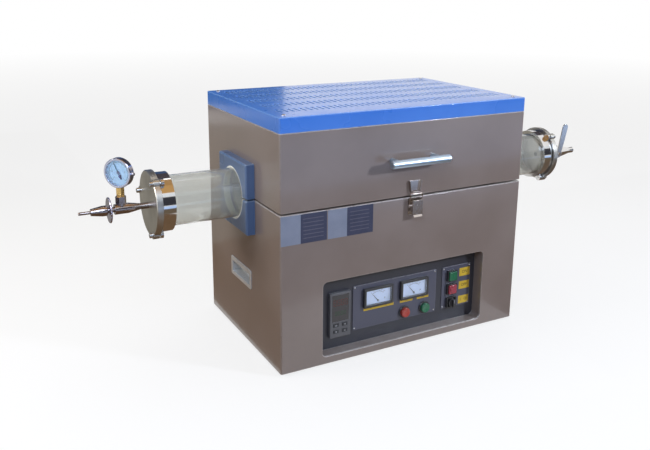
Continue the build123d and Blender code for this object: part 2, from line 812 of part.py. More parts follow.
def valve_lever():
    """Flat lever: a bored eye on the stem and a waisted blade that leans outwards, with a round end."""
    middle = ball_valve_x()[2] + ball_body_l / 2
    y = -ball_body_r - stem_boss_l - 0.3
    eye = Circle(lever_eye_r)
    neck = lever_w * 0.36
    blade = make_face(Polyline((-neck, 0), (neck, 0), (lever_w / 2, lever_l * 0.55), (lever_w / 2, lever_l),
                               (-lever_w / 2, lever_l), (-lever_w / 2, lever_l * 0.55), close=True))
    flat = eye + Rot(0, 0, -lever_lean) * (blade + Pos(0, lever_l) * Circle(lever_w / 2))
    lever = Pos(middle, y, port_z) * Rot(90, 0, 0) * extrude(flat, lever_t)
    return lever - rod_y(stem_r + running, (y - lever_t - OVER, y + OVER), middle, port_z)


# ---- control recess -------------------------------------------------------------------------
def control_tray():
    """The sheet-metal box of the recess, between the front wall and the panel."""
    x, z = recess_sides()
    outer = plate_xz((x[0] - sheet, x[1] + sheet), (z[0] - sheet, z[1] + sheet), (front_y + sheet, panel_y),
                     recess_r + sheet)
    return outer - plate_xz(x, z, (front_y, panel_y + OVER), recess_r)


def panel_cut(at, width, height, slack=fit):
    """A rectangular hole through the panel and whatever lies on it."""
    x = around(at[0], width + 2 * slack)
    z = around(foot_h + at[1], height + 2 * slack)
    return slab(x, (fascia_y - OVER, panel_y + panel_t + OVER), z)


def panel_holes():
    holes = [panel_cut(at, meter_body_w, meter_body_h) for at in meter_at]
    holes += [panel_cut(at, square_housing - 3.0, square_housing - 3.0) for at in square_switch_at]
    for at in round_button_at:
        holes.append(rod_y(round_bezel_r - 1.5 + fit, (fascia_y - OVER, panel_y + panel_t + OVER), at[0], foot_h + at[1]))
    return holes


def control_panel():
    x, z = recess_sides()
    plate = plate_xz((x[0] - sheet, x[1] + sheet), (z[0] - sheet, z[1] + sheet), (panel_y, panel_y + panel_t),
                     recess_r + sheet)
    plate -= panel_cut(controller_at, controller_body_w, controller_body_h)
    return plate - panel_holes()


def fascia_plates():
    """The two grey printed plates that carry the meters and the switches."""
    plates = []
    for x, z, width, height in (meter_fascia, switch_fascia):
        plate = plate_xz(around(x, width), around(foot_h + z, height), (fascia_y, panel_y), fascia_r)
        plates.append(plate - panel_holes())
    return group(*plates)


def key_places():
    x, z = controller_at
    low = foot_h + z - controller_h / 2 + key_low
    return [(x + side * key_pitch_x / 2, low + row * key_pitch_z) for row in (1, 0) for side in (-1, 1)]


def window_sides():
    top = foot_h + controller_at[1] + controller_h / 2 - window_drop
    return around(controller_at[0], window_w), (top - window_h, top)


def controller_case():
    """A DIN-size process controller: bezel before the panel, body through it."""
    x, z = controller_at[0], foot_h + controller_at[1]
    front = panel_y - controller_bezel
    case = plate_xz(around(x, controller_w), around(z, controller_h), (front, panel_y), 2.0)
    case = chamfer(case.faces().sort_by(Axis.Y)[0].edges(), 1.0)
    case += slab(around(x, controller_body_w), (panel_y, panel_y + controller_depth), around(z, controller_body_h))
    window_x, window_z = window_sides()
    case -= slab(window_x, (front - OVER, front + window_t), window_z)
    for key_x, key_z in key_places():
        case -= slab(around(key_x, key_w + 2 * key_slack), (front - OVER, front + key_pocket),
                     around(key_z, key_h + 2 * key_slack))
    return case


def controller_key(place):
    front = panel_y - controller_bezel
    key = slab(around(place[0], key_w), (front - key_proud, front - key_proud + key_t), around(place[1], key_h))
    return fillet(key.faces().sort_by(Axis.Y)[0].edges(), 0.6)


def meter_front():
    return fascia_y - meter_proud


def meter_window(at):
    x = around(at[0], meter_w - 2 * meter_frame)
    z = around(foot_h + at[1], meter_h - 2 * meter_frame)
    return x, z


def meter_cases():
    """Moving-coil meters: a frame before the fascia and a body through it."""
    cases = []
    for at in meter_at:
        z = foot_h + at[1]
        case = plate_xz(around(at[0], meter_w), around(z, meter_h), (meter_front(), fascia_y), 1.5)
        case = chamfer(case.faces().sort_by(Axis.Y)[0].edges(), 1.0)
        window_x, window_z = meter_window(at)
        case -= slab(window_x, (meter_front() - OVER, fascia_y), window_z)
        case += slab(around(at[0], meter_body_w), (fascia_y, fascia_y + meter_body_d), around(z, meter_body_h))
        cases.append(case)
    return group(*cases)


def meter_pivot(at):
    return at[0], meter_window(at)[1][0] + meter_pivot_up


def instrument_dials():
    """The meters' dial cards, each with the spindle that its pointer turns on."""
    dials = []
    for at in meter_at:
        x, z = meter_window(at)
        card = slab(x, (fascia_y - dial_t, fascia_y), z)
        pivot_x, pivot_z = meter_pivot(at)
        dials.append(card + rod_y(meter_spindle_r, (fascia_y - dial_t - 2 * pointer_t, fascia_y - dial_t),
                                  pivot_x, pivot_z))
    return group(*dials, gauge_dial())


def instrument_glass():
    """The meters' and the gauge's glasses and the controller's dark window."""
    panes = []
    for at in meter_at:
        x, z = meter_window(at)
        panes.append(slab(x, (meter_front() + 0.8, meter_front() + 0.8 + glass_t), z))
    window_x, window_z = window_sides()
    front = panel_y - controller_bezel
    panes.append(slab(window_x, (front, front + window_t), window_z))
    glass_front, glass_rear = glass_depths()
    panes.append(gauge_frame() * rod_y(gauge_r - gauge_wall, (glass_front, glass_rear)))
    return group(*panes)


def meter_pointer(at):
    pivot_x, pivot_z = meter_pivot(at)
    y = fascia_y - dial_t - 2 * pointer_t + 0.3
    pointer = needle(meter_pointer_l, 2.5, meter_pointer_w, 2.0, meter_spindle_r + running, y)
    return Pos(pivot_x, 0, pivot_z) * Rot(0, -meter_swing, 0) * pointer


def button_bezels():
    """Housings of the two round buttons and the three square switches."""
    housings = []
    rear = (panel_y, panel_y + button_body_d)
    for at in round_button_at:
        x, z = at[0], foot_h + at[1]
        front = fascia_y - round_bezel_proud
        housing = rod_y(round_bezel_r, (front, fascia_y), x, z)
        housing = chamfer(housing.faces().sort_by(Axis.Y)[0].edges(), 1.0)
        housing += rod_y(round_bezel_r - 1.5, (fascia_y, rear[1]), x, z)
        housings.append(housing - rod_y(round_button_r + button_slack, (front - OVER, fascia_y + button_pocket), x, z))
    for at in square_switch_at:
        x, z = at[0], foot_h + at[1]
        front = fascia_y - square_proud
        housing = plate_xz(around(x, square_housing), around(z, square_housing), (front, fascia_y), 2.5)
        body = square_housing - 3.0
        housing += slab(around(x, body), (fascia_y, rear[1]), around(z, body))
        hole = square_button + 2 * button_slack
        pocket = plate_xz(around(x, hole), around(z, hole), (front - OVER, fascia_y + button_pocket), 1.5)
        housings.append(housing - pocket)
    return group(*housings)


def round_button(at):
    """A push button with a dished, rounded cap."""
    x, z = at[0], foot_h + at[1]
    front = fascia_y - round_button_proud
    cap = rod_y(round_button_r, (front, fascia_y + button_skirt), x, z)
    cap = fillet(cap.faces().sort_by(Axis.Y)[0].edges(), 2.0)
    dish = Pos(x, front - 18.6, z) * Sphere(20.0)
    return cap - dish


def square_cap(at, lens):
    """An illuminated square cap; one of them has a round lens standing on it."""
    x, z = at[0], foot_h + at[1]
    front = fascia_y - square_button_proud
    cap = plate_xz(around(x, square_button), around(z, square_button), (front, fascia_y + button_skirt), 1.5)
    cap = chamfer(cap.faces().sort_by(Axis.Y)[0].edges(), 1.0)
    if lens:
        cap += rod_y(square_button * 0.36, (front - 1.5, front), x, z)
    return cap


def key_switch():
    """The black selector: a round base and a grip ridge, turned in its square housing."""
    x, z = square_switch_at[2][0], foot_h + square_switch_at[2][1]
    front = fascia_y - square_proud
    knob = rod_y(knob_r, (front - knob_base_h, fascia_y + button_skirt), x, z)
    ridge = plate_xz(around(x, knob_ridge_w), around(z, 2 * knob_r - 2.0),
                     (front - knob_base_h - knob_ridge_h, front - knob_base_h), 2.0)
    return knob + ridge


# ---- handles --------------------------------------------------------------------------------
def side_handle(side):
    """A pressed cup let into the side wall, with a grip plate that hangs from its upper edge."""
    y, z = side_handle_sides()
    wall = half_w
    frame = side_handle_frame
    flange = slab((wall, wall + side_handle_t), y, z)
    flange = fillet(flange.edges().filter_by(Axis.X), side_handle_r)
    cup_y, cup_z = (y[0] + frame, y[1] - frame), (z[0] + frame, z[1] - frame)
    cup = slab((wall - side_handle_depth, wall + side_handle_t), cup_y, cup_z)
    thin = side_handle_t
    hollow = slab((wall - side_handle_depth + thin, wall + side_handle_t + OVER),
                  (cup_y[0] + thin, cup_y[1] - thin), (cup_z[0] + thin, cup_z[1] - thin))
    top = cup_z[1] - thin
    grip = make_face(Polyline((wall + thin, top), (wall + thin, top - thin), (wall - grip_set_in, top - grip_drop),
                              (wall - grip_set_in - thin, top - grip_drop), (wall - thin, top), close=True))
    grip = Pos(0, cup_y[1] - thin, 0) * Rot(90, 0, 0) * extrude(grip, cup_y[1] - cup_y[0] - 2 * thin)
    handle = flange + cup - hollow + grip
    return handle if side > 0 else mirror(handle, Plane.YZ)


def lid_handle():
    """A round bar on two posts."""
    z = foot_h + handle_z
    bar_y = front_y - handle_out
    bar = rod_x(handle_r, around(handle_x, handle_l), bar_y, z)
    ends = bar.faces().filter_by(GeomType.PLANE)
    bar = chamfer(ends.edges(), handle_edge)
    posts = [rod_y(post_r, (bar_y, front_y), handle_x + side * post_spacing / 2, z) for side in (-1, 1)]
    return bar + posts


# ---- latch ----------------------------------------------------------------------------------
def lever_pivot():
    return front_y - latch_pivot_out, foot_h + latch_pivot_z


def bail_pivot():
    y, z = lever_pivot()
    return y + bail_set_in, z - bail_drop


def both_sides(middle, thickness):
    """Two stretches along X, at the same distance either side of the latch's centre."""
    return [around(latch_x + side * middle, thickness) for side in (-1, 1)]


def cheek_middle():
    return ear_half + latch_sheet + latch_side_slack


def arm_middle():
    return cheek_middle() + latch_sheet / 2 + latch_side_slack + bail_eye_w / 2


def latch_base():
    """Base plate on the lower casing, with two ears and the lever's pin."""
    y, z = lever_pivot()
    low = foot_h + latch_base_low
    base = slab(around(latch_x, latch_base_w), (front_y - latch_plate, front_y), (low, lower_top - 1.0))
    for x in both_sides(ear_half, latch_sheet):
        base += slab(x, (y, front_y - latch_plate), around(z, 2 * latch_ear_r)) + rod_x(latch_ear_r, x, y, z)
    pin_end = cheek_middle() + latch_sheet
    return base + rod_x(latch_pin_r, (latch_x - pin_end, latch_x + pin_end), y, z)


def latch_lever():
    """Toggle lever: two cheeks, a front plate with a flared thumb end, and the bail's pin."""
    y, z = lever_pivot()
    bail_y, bail_z = bail_pivot()
    front = y - lever_plate_out
    plate_low = z - lever_low + 4.0
    cheek = [(front, z + lever_high - 2.0), (front + 3.0, z + lever_high), (y + 1.0, z + lever_high),
             (bail_y + 2.6, bail_z + 3.0), (bail_y + 2.6, bail_z - 2.4), (bail_y, bail_z - 3.6),
             (front + 1.5, plate_low + 2.0), (front, plate_low + 2.0)]
    thumb = [(front, plate_low), (front + latch_plate, plate_low), (front - 1.0, z - lever_low),
             (front - 3.0, z - lever_low)]
    lever = Part() + [side_plate(cheek, x) for x in both_sides(cheek_middle(), latch_sheet)]
    width = 2 * cheek_middle() + latch_sheet
    lever += slab(around(latch_x, width), (front, front + latch_plate), (plate_low, z + 1.0))
    lever += side_plate(thumb, around(latch_x, width - 3.0))
    lever -= rod_x(latch_pin_r + running, around(latch_x, width + 2 * OVER), y, z)
    for side in (-1, 1):
        inner = latch_x + side * cheek_middle()
        outer = latch_x + side * (arm_middle() + bail_eye_w / 2 + 1.0)
        lever += rod_x(latch_pin_r, sorted((inner, outer)), bail_y, bail_z)
    return lever


def hook_floor():
    """Height of the crossbar's axis when it lies in the strike's hook."""
    return lid_low + strike_low + latch_sheet + bail_r + bail_slack


def bail_length():
    return hook_floor() - bail_pivot()[1]


def bail_lean():
    """Degrees that the bail stands forward of upright, so that it clears the hook's lip."""
    return degrees(asin((2 * bail_r + 3 * bail_slack + latch_sheet) / bail_length()))


def latch_bail():
    """Wire bail: an eye on each end of the lever's pin, and one bent wire round to the strike."""
    y, z = bail_pivot()
    low = latch_pin_r + 0.8
    half = arm_middle()
    top = bail_length()
    route = FilletPolyline((-half, 0, low), (-half, 0, top), (half, 0, top), (half, 0, low), radius=bail_bend_r)
    wire = sweep(Plane(origin=(-half, 0, low), z_dir=(0, 0, 1)) * Circle(bail_r), path=route)
    for x in (-half, half):
        wire += rod_x(bail_eye_r, around(x, bail_eye_w))
    wire -= rod_x(latch_pin_r + running, (-half - OVER, half + OVER))
    return Pos(latch_x, y, z) * Rot(bail_lean(), 0, 0) * wire


def strike_outline(foot, top, inset=0.0, past=0.0):
    """The strike's flared front. Inset narrows it, and past carries its slanted sides beyond both ends."""
    slant = (strike_wide - strike_narrow) / 2 / (top - foot)
    narrow = strike_narrow / 2 - inset - slant * past
    wide = strike_wide / 2 - inset + slant * past
    foot -= past
    top += past
    return make_face(Polyline((-narrow, foot), (narrow, foot), (wide, top), (-wide, top), close=True))


def latch_strike():
    """The lid's strike: a flared channel, and below it a hook with its edge turned out and up."""
    low = lid_low + strike_low
    top = low + strike_h
    foot = hook_floor() + bail_r + 2 * bail_slack
    thin = latch_sheet
    reach = bail_pivot()[0] - bail_r - bail_slack - thin
    outline = [(front_y, low), (reach, low), (reach, low + strike_lip), (reach + thin, low + strike_lip),
               (reach + thin, low + thin), (front_y - latch_plate, low + thin),
               (front_y - latch_plate, top), (front_y, top)]
    place = Pos(latch_x, front_y, 0) * Rot(90, 0, 0)
    channel = extrude(strike_outline(foot, top), strike_deep)
    channel -= Pos(0, 0, latch_plate) * extrude(strike_outline(foot, top, thin, OVER), strike_deep)
    return side_plate(outline, around(latch_x, strike_w)) + place * channel


# ---- hinges ---------------------------------------------------------------------------------
def hinge_knuckles(x, inner):
    """The middle third of a hinge for the lid, or its two outer thirds for the casing."""
    third = hinge_w / 3
    if inner:
        return [around(x, third - 2 * hinge_end_gap)]
    return [around(x + side * third, third) for side in (-1, 1)]


def hinge_leaves(upper):
    leaves = []
    wall = half_d
    for x in (-hinge_x, hinge_x):
        z = (lid_low + 1.0, axis_z + hinge_leaf_h) if upper else (axis_z - hinge_leaf_h, lower_top - 1.0)
        leaf = slab(around(x, hinge_w), (wall, wall + hinge_leaf_t), z)
        bore = hinge_pin_r + (running if upper else 0.0)
        for stretch in hinge_knuckles(x, upper):
            joined = slab(stretch, (wall, hinge_y), (axis_z, z[0] + 4.0) if upper else (z[1] - 4.0, axis_z))
            leaf += joined + rod_x(hinge_knuckle_r, stretch, hinge_y, axis_z)
            leaf -= rod_x(bore, (stretch[0] - OVER, stretch[1] + OVER), hinge_y, axis_z)
        for stretch in hinge_knuckles(x, not upper):
            clear = (stretch[0] - hinge_end_gap, stretch[1] + hinge_end_gap)
            room = rod_x(hinge_knuckle_r + hinge_end_gap, clear, hinge_y, axis_z)
            leaf -= room
        leaves.append(leaf)
    return group(*leaves)


def hinge_pins():
    return group(*[rod_x(hinge_pin_r, around(x, hinge_w), hinge_y, axis_z) for x in (-hinge_x, hinge_x)])


# ---- rear and inside ------------------------------------------------------------------------
def cable_gland():
    """Mains cable gland through the rear wall, with its nut inside."""
    wall = (half_d - sheet, half_d)
    outline = RegularPolygon(gland_hex_af / 2, 6, major_radius=False)
    hexagon = Pos(gland_x, half_d + gland_hex_l, gland_z) * Rot(90, 0, 0) * extrude(outline, gland_hex_l)
    nut = Pos(gland_x, wall[0], gland_z) * Rot(90, 0, 0) * extrude(outline, gland_nut_l)
    dome = turned_y([(0, half_d), (gland_body_r, half_d), (gland_body_r, half_d + gland_out - 6.0),
                     (gland_body_r - 3.0, half_d + gland_out), (0, half_d + gland_out)], gland_x, gland_z)
    gland = dome + hexagon + nut + rod_y(gland_body_r, (wall[0] - gland_in, wall[1]), gland_x, gland_z)
    return gland - rod_y(gland_bore_r, (wall[0] - gland_in - OVER, half_d + gland_out + OVER), gland_x, gland_z)


def power_relay():
    """Solid-state relay lying on its finned heat sink."""
    x, y = sink_at
    low = foot_h + base_t
    sink = slab(around(x, sink_w), around(y, sink_d), (low, low + sink_h))
    pitch = (sink_w - sink_fin_t) / (sink_fins - 1)
    for gap in range(sink_fins - 1):
        middle = x - sink_w / 2 + sink_fin_t / 2 + pitch * (gap + 0.5)
        sink -= slab(around(middle, pitch - sink_fin_t), around(y, sink_d + OVER), (low - OVER, low + sink_h - sink_web))
    top = low + sink_h
    relay = slab(around(x, relay_w), around(y, relay_d), (top, top + relay_h))
    return group(sink, fillet(relay.edges().filter_by(Axis.Z), 4.0))


# ---- every node -----------------------------------------------------------------------------
pieces = {}
pieces["lower_casing"] = lower_casing()
pieces["base_plate"] = base_plate()
pieces["rubber_feet"] = rubber_feet()
pieces["lower_deck"] = lower_deck()
pieces["lid_shell"] = lid_shell()
pieces["top_cover"] = top_cover()
pieces["cover_screws"] = cover_screws()
for half, is_upper in (("lower", False), ("upper", True)):
    pieces[f"{half}_insulation"] = insulation(is_upper)
    pieces[f"{half}_heater_shell"] = heater_shell(is_upper)
    pieces[f"{half}_heating_coils"] = heating_coils(is_upper)
    pieces[f"{half}_collar_plates"] = collar_plates(is_upper)
    pieces[f"{half}_hinge_leaves"] = hinge_leaves(is_upper)
pieces["hinge_pins"] = hinge_pins()
pieces["quartz_tube"] = quartz_tube()
pieces["thermocouple"] = thermocouple()
pieces["flange_collars"] = flange_collars()
pieces["flange_covers"] = flange_covers()
pieces["flange_orings"] = flange_orings()
pieces["flange_screws"] = flange_screws()
pieces["inlet_tee"] = inlet_tee()
pieces["gauge_stem"] = gauge_stem()
pieces["gauge_case"] = gauge_case()
pieces["gauge_pointer"] = gauge_pointer()
pieces["needle_valve"] = needle_valve()
pieces["handwheel"] = handwheel()
pieces["ball_valve"] = ball_valve()
pieces["valve_lever"] = valve_lever()
pieces["control_tray"] = control_tray()
pieces["control_panel"] = control_panel()
pieces["fascia_plates"] = fascia_plates()
pieces["controller_case"] = controller_case()
for number, key_place in enumerate(key_places(), start=1):
    pieces[f"controller_key_{number}"] = controller_key(key_place)
pieces["meter_cases"] = meter_cases()
pieces["instrument_dials"] = instrument_dials()
pieces["instrument_glass"] = instrument_glass()
pieces["voltmeter_pointer"] = meter_pointer(meter_at[0])
pieces["ammeter_pointer"] = meter_pointer(meter_at[1])
pieces["button_bezels"] = button_bezels()
pieces["stop_button"] = round_button(round_button_at[0])
pieces["start_button"] = round_button(round_button_at[1])
pieces["heat_on_button"] = square_cap(square_switch_at[0], lens=False)
pieces["heat_off_button"] = square_cap(square_switch_at[1], lens=True)
pieces["selector_knob"] = key_switch()
pieces["side_handles"] = group(side_handle(-1), side_handle(1))
pieces["lid_handle"] = lid_handle()
pieces["latch_base"] = latch_base()
pieces["latch_lever"] = latch_lever()
pieces["latch_bail"] = latch_bail()
pieces["latch_strike"] = latch_strike()
pieces["cable_gland"] = cable_gland()
pieces["power_relay"] = power_relay()

# ---- set down about the middle of the whole object's box, and written -----------------------
boxes = [shape.bounding_box() for shape in pieces.values()]
middle_x = (min(box.min.X for box in boxes) + max(box.max.X for box in boxes)) / 2
middle_y = (min(box.min.Y for box in boxes) + max(box.max.Y for box in boxes)) / 2
os.makedirs("parts", exist_ok=True)
for node, shape in pieces.items():
    export_step(Pos(-middle_x, -middle_y, 0) * shape, f"parts/{node}.step")
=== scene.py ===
"""The finishes and fine pieces of a split tube furnace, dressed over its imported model."""
import json
import math

import bmesh
import bpy
import numpy as np
from mathutils import Matrix, Vector

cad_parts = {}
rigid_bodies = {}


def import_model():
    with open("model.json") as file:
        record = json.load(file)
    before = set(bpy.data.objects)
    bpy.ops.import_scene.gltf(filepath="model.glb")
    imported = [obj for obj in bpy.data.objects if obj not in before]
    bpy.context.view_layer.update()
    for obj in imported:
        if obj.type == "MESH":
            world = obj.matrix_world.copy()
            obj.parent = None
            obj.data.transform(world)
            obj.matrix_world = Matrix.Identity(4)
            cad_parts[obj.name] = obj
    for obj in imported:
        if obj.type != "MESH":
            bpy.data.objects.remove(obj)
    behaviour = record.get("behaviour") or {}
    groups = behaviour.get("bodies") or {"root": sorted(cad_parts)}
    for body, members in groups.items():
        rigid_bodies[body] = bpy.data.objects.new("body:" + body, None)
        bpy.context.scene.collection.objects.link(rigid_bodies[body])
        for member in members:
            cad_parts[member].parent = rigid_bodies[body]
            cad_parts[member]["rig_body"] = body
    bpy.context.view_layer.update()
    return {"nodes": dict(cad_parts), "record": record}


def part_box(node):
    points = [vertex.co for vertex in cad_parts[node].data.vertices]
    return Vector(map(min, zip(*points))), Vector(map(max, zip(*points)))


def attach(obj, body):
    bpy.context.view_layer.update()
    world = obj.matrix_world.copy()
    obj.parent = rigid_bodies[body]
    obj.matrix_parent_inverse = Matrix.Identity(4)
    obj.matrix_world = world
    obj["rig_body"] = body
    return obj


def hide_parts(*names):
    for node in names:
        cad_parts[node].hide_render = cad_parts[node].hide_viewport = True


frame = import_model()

mm = 0.001
scene = bpy.context.scene
scene.view_settings.view_transform = "Standard"


# ==== Camera, floor and lamps =====================================================================
# A pale studio floor and a white surround, a cool window at the upper left, a small cool lamp on
# the right that throws the handle's shadow, a warm fill on the left, and coloured cards that only
# reflections see.
casing_low, casing_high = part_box("lower_casing")
casing_x = (casing_low.x + casing_high.x) / 2
casing_y = (casing_low.y + casing_high.y) / 2
front_y = casing_low.y
foot_top = casing_low.z

yaw, pitch, roll = math.radians(-28.56), math.radians(13.93), math.radians(0.50)
forward = Vector((-math.sin(yaw) * math.cos(pitch), math.cos(yaw) * math.cos(pitch),
                  -math.sin(pitch)))
level = Vector((math.cos(yaw), math.sin(yaw), 0.0))
upright = level.cross(forward)
across = math.cos(roll) * level + math.sin(roll) * upright
upright = -math.sin(roll) * level + math.cos(roll) * upright
frame_width = 650.0
focal_px, centre_px = 749.17, (328.95, 168.30)

eye = bpy.data.cameras.new("eye")
eye.sensor_width = 36.0
eye.lens = focal_px / frame_width * eye.sensor_width
eye.shift_x = (325.0 - centre_px[0]) / frame_width
eye.shift_y = (centre_px[1] - 225.0) / frame_width
camera = bpy.data.objects.new("camera", eye)
eye_place = (casing_x - 829.2 * mm, casing_y - 1370.4 * mm, foot_top + 731.8 * mm)
eye_turn = Matrix((across, upright, -forward)).transposed().to_4x4()
camera.matrix_world = Matrix.Translation(eye_place) @ eye_turn
scene.collection.objects.link(camera)
scene.camera = camera


def shader(tree, kind, **values):
    """A shader node of that kind. Each value sets the input of that name, or else the attribute."""
    made = tree.nodes.new("ShaderNode" + kind)
    for key, value in values.items():
        label = key.replace("_", " ")
        if label in made.inputs and not hasattr(made, key):
            made.inputs[label].default_value = value
        else:
            setattr(made, key, value)
    return made


def new_material(name):
    """An empty material with its output, and the Principled shader that feeds it."""
    material = bpy.data.materials.new(name)
    material.use_nodes = True
    tree = material.node_tree
    return material, tree, tree.nodes["Principled BSDF"]


def card(name, corners, material):
    """A flat four-cornered sheet of the studio."""
    mesh = bpy.data.meshes.new(name)
    mesh.from_pydata([tuple(c) for c in corners], [], [(0, 1, 2, 3)])
    mesh.materials.append(material)
    sheet = bpy.data.objects.new(name, mesh)
    scene.collection.objects.link(sheet)
    return sheet


floor_paint, tree, skin = new_material("studio_floor")
skin.inputs["Base Color"].default_value = (0.90, 0.90, 0.91, 1.0)
skin.inputs["Roughness"].default_value = 0.75
glow = shader(tree, "Emission", Color=(1.0, 1.0, 1.0, 1.0), Strength=1.0)
bounce = shader(tree, "BsdfDiffuse", Color=(0.34, 0.24, 0.16, 1.0))
path = shader(tree, "LightPath")
direct = shader(tree, "Math", operation="MAXIMUM")
seen_through = shader(tree, "Math", operation="MAXIMUM")
pale = shader(tree, "MixShader")
where = shader(tree, "TexCoord")
away = shader(tree, "VectorMath", operation="LENGTH")
shadowless = shader(tree, "MapRange", From_Min=1.6, From_Max=7.0, To_Min=0.74, To_Max=1.0)
tree.links.new(where.outputs["Object"], away.inputs[0])
tree.links.new(away.outputs["Value"], shadowless.inputs["Value"])
tree.links.new(shadowless.outputs[0], pale.inputs[0])
either = shader(tree, "MixShader")
tree.links.new(path.outputs["Is Camera Ray"], direct.inputs[0])
tree.links.new(path.outputs["Is Glossy Ray"], direct.inputs[1])
tree.links.new(direct.outputs[0], seen_through.inputs[0])
tree.links.new(path.outputs["Is Transmission Ray"], seen_through.inputs[1])
tree.links.new(skin.outputs[0], pale.inputs[1])
tree.links.new(glow.outputs[0], pale.inputs[2])
tree.links.new(seen_through.outputs[0], either.inputs[0])
tree.links.new(bounce.outputs[0], either.inputs[1])
tree.links.new(pale.outputs[0], either.inputs[2])
tree.links.new(either.outputs[0], tree.nodes["Material Output"].inputs[0])
floor_half = 30.0
card("studio_floor", [(-floor_half, -floor_half, 0), (floor_half, -floor_half, 0),
                      (floor_half, floor_half, 0), (-floor_half, floor_half, 0)], floor_paint)


def reflected_card(name, corners, colour):
    """A coloured card that only polished and painted surfaces see, as their bands and shades."""
    paint = bpy.data.materials.new(name)
    paint.use_nodes = True
    paint.node_tree.nodes.clear()
    colour_of = shader(paint.node_tree, "Emission", Color=(*colour, 1.0), Strength=1.0)
    end = shader(paint.node_tree, "OutputMaterial")
    paint.node_tree.links.new(colour_of.outputs[0], end.inputs[0])
    sheet = card(name, corners, paint)
    sheet.visible_camera = False
    sheet.visible_diffuse = False
    sheet.visible_transmission = False
    sheet.visible_shadow = False


tube_height = 0.32


def band(name, low, high, left, right, colour, reach=1.6):
    """A card along the tube's direction, from one height angle to another, at arm's length from it."""
    angles = [math.radians(a) for a in (low, high)]
    edges = [Vector((0, -reach * math.cos(a), tube_height + reach * math.sin(a))) for a in angles]
    ends = (Vector((left, 0, 0)), Vector((right, 0, 0)))
    reflected_card(name,
                   [edges[0] + ends[0], edges[0] + ends[1], edges[1] + ends[1], edges[1] + ends[0]],
                   colour)


band("dark_band", -2, 30, -1.6, 3.2, (0.045, 0.045, 0.055))
band("strip_window", 32, 41, -1.6, 3.2, (0.88, 0.94, 1.0))
band("amber_band", 45, 75, -1.6, 0.72, (0.60, 0.35, 0.13))
band("amber_band_high", 75, 104, -1.6, 0.72, (0.48, 0.27, 0.10))
band("overhead_dark", 108, 146, -1.6, 2.6, (0.07, 0.06, 0.07))
card_lift = 0.002
flat_corners = lambda x0, x1, y0, y1: [(x, y, card_lift) for x,
                                       y in ((x0, y0), (x1, y0), (x1, y1), (x0, y1))]
reflected_card("floor_front", flat_corners(-1.4, 3.0, -1.25, -0.50), (0.17, 0.13, 0.09))
reflected_card("floor_far_front", flat_corners(-1.4, 3.4, -3.6, -1.25), (0.60, 0.82, 1.25))
reflected_card("floor_right", flat_corners(0.28, 1.9, -0.50, 0.62), (0.15, 0.11, 0.08))
reflected_card("floor_near", flat_corners(-1.5, -0.31, -0.50, 0.62), (0.17, 0.105, 0.06))
reflected_card("floor_behind_left", flat_corners(-2.6, -0.30, 0.62, 2.6), (0.30, 0.28, 0.24))
reflected_card("back_left",
               [(-2.2, 1.6, 0.25), (0.54, 1.6, 0.25), (0.54, 1.6, 1.7), (-2.2, 1.6, 1.7)],
               (0.06, 0.10, 0.20))

world = bpy.data.worlds.new("white_surround")
scene.world = world
world.use_nodes = True
tree = world.node_tree
tree.nodes.clear()
lit = shader(tree, "Background", Color=(1.0, 0.94, 0.87, 1.0), Strength=0.26)
seen = shader(tree, "Background", Color=(1.0, 1.0, 1.0, 1.0), Strength=1.0)
path = shader(tree, "LightPath")
either = shader(tree, "Math", operation="MAXIMUM")
any_of = shader(tree, "Math", operation="MAXIMUM")
blend = shader(tree, "MixShader")
out = shader(tree, "OutputWorld")
tree.links.new(path.outputs["Is Camera Ray"], either.inputs[0])
tree.links.new(path.outputs["Is Glossy Ray"], either.inputs[1])
tree.links.new(either.outputs[0], any_of.inputs[0])
tree.links.new(path.outputs["Is Transmission Ray"], any_of.inputs[1])
tree.links.new(any_of.outputs[0], blend.inputs[0])
tree.links.new(lit.outputs[0], blend.inputs[1])
tree.links.new(seen.outputs[0], blend.inputs[2])
tree.links.new(blend.outputs[0], out.inputs[0])


def softbox(name, place, aim, size, power, colour):
    """A square soft lamp that faces a point."""
    lamp = bpy.data.lights.new(name, "AREA")
    lamp.shape = "SQUARE"
    lamp.size = size
    lamp.energy = power
    lamp.color = colour
    holder = bpy.data.objects.new(name, lamp)
    holder.location = place
    holder.rotation_euler = (Vector(aim) - Vector(place)).to_track_quat("-Z", "Y").to_euler()
    holder.visible_camera = False
    scene.collection.objects.link(holder)


softbox("window", (-0.72, -1.05, 1.08), (-0.12, -0.1, 0.42), 0.6, 8.0, (0.62, 0.76, 1.0))
softbox("side_fill", (-1.70, 0.22, 0.98), (-0.3, 0, 0.34), 0.7, 12.5, (1.0, 0.95, 0.86))
softbox("hand_lamp", (1.36, -1.76, 1.14), (-0.1, -0.1, 0.42), 0.16, 33.0, (0.80, 0.87, 1.0))
softbox("ceiling", (0.3, 0.6, 2.9), (0, 0, 0.4), 2.4, 30.0, (0.95, 0.98, 1.0))


# ==== Lower casing =================================================================================
# Two-millimetre steel sheet, folded at the corners and turned in along the seam, with the control
# recess, the handle pockets and the rear louvres cut through it. It is stoved in a warm grey enamel
# whose skin has a fine orange peel.
def shader_group(name, inputs, outputs):
    """A node group with named inputs (kind, default) and outputs, for an effect that finishes share."""
    group = bpy.data.node_groups.new(name, "ShaderNodeTree")
    for label, (kind, default) in inputs.items():
        socket = group.interface.new_socket(label, in_out="INPUT", socket_type="NodeSocket" + kind)
        socket.default_value = default
    for label, kind in outputs.items():
        group.interface.new_socket(label, in_out="OUTPUT", socket_type="NodeSocket" + kind)
    return group, group.nodes.new("NodeGroupInput"), group.nodes.new("NodeGroupOutput")


def use_group(tree, group, **values):
    """That group as a node of a material."""
    made = tree.nodes.new("ShaderNodeGroup")
    made.node_tree = group
    for key, value in values.items():
        made.inputs[key.replace("_", " ")].default_value = value
    return made


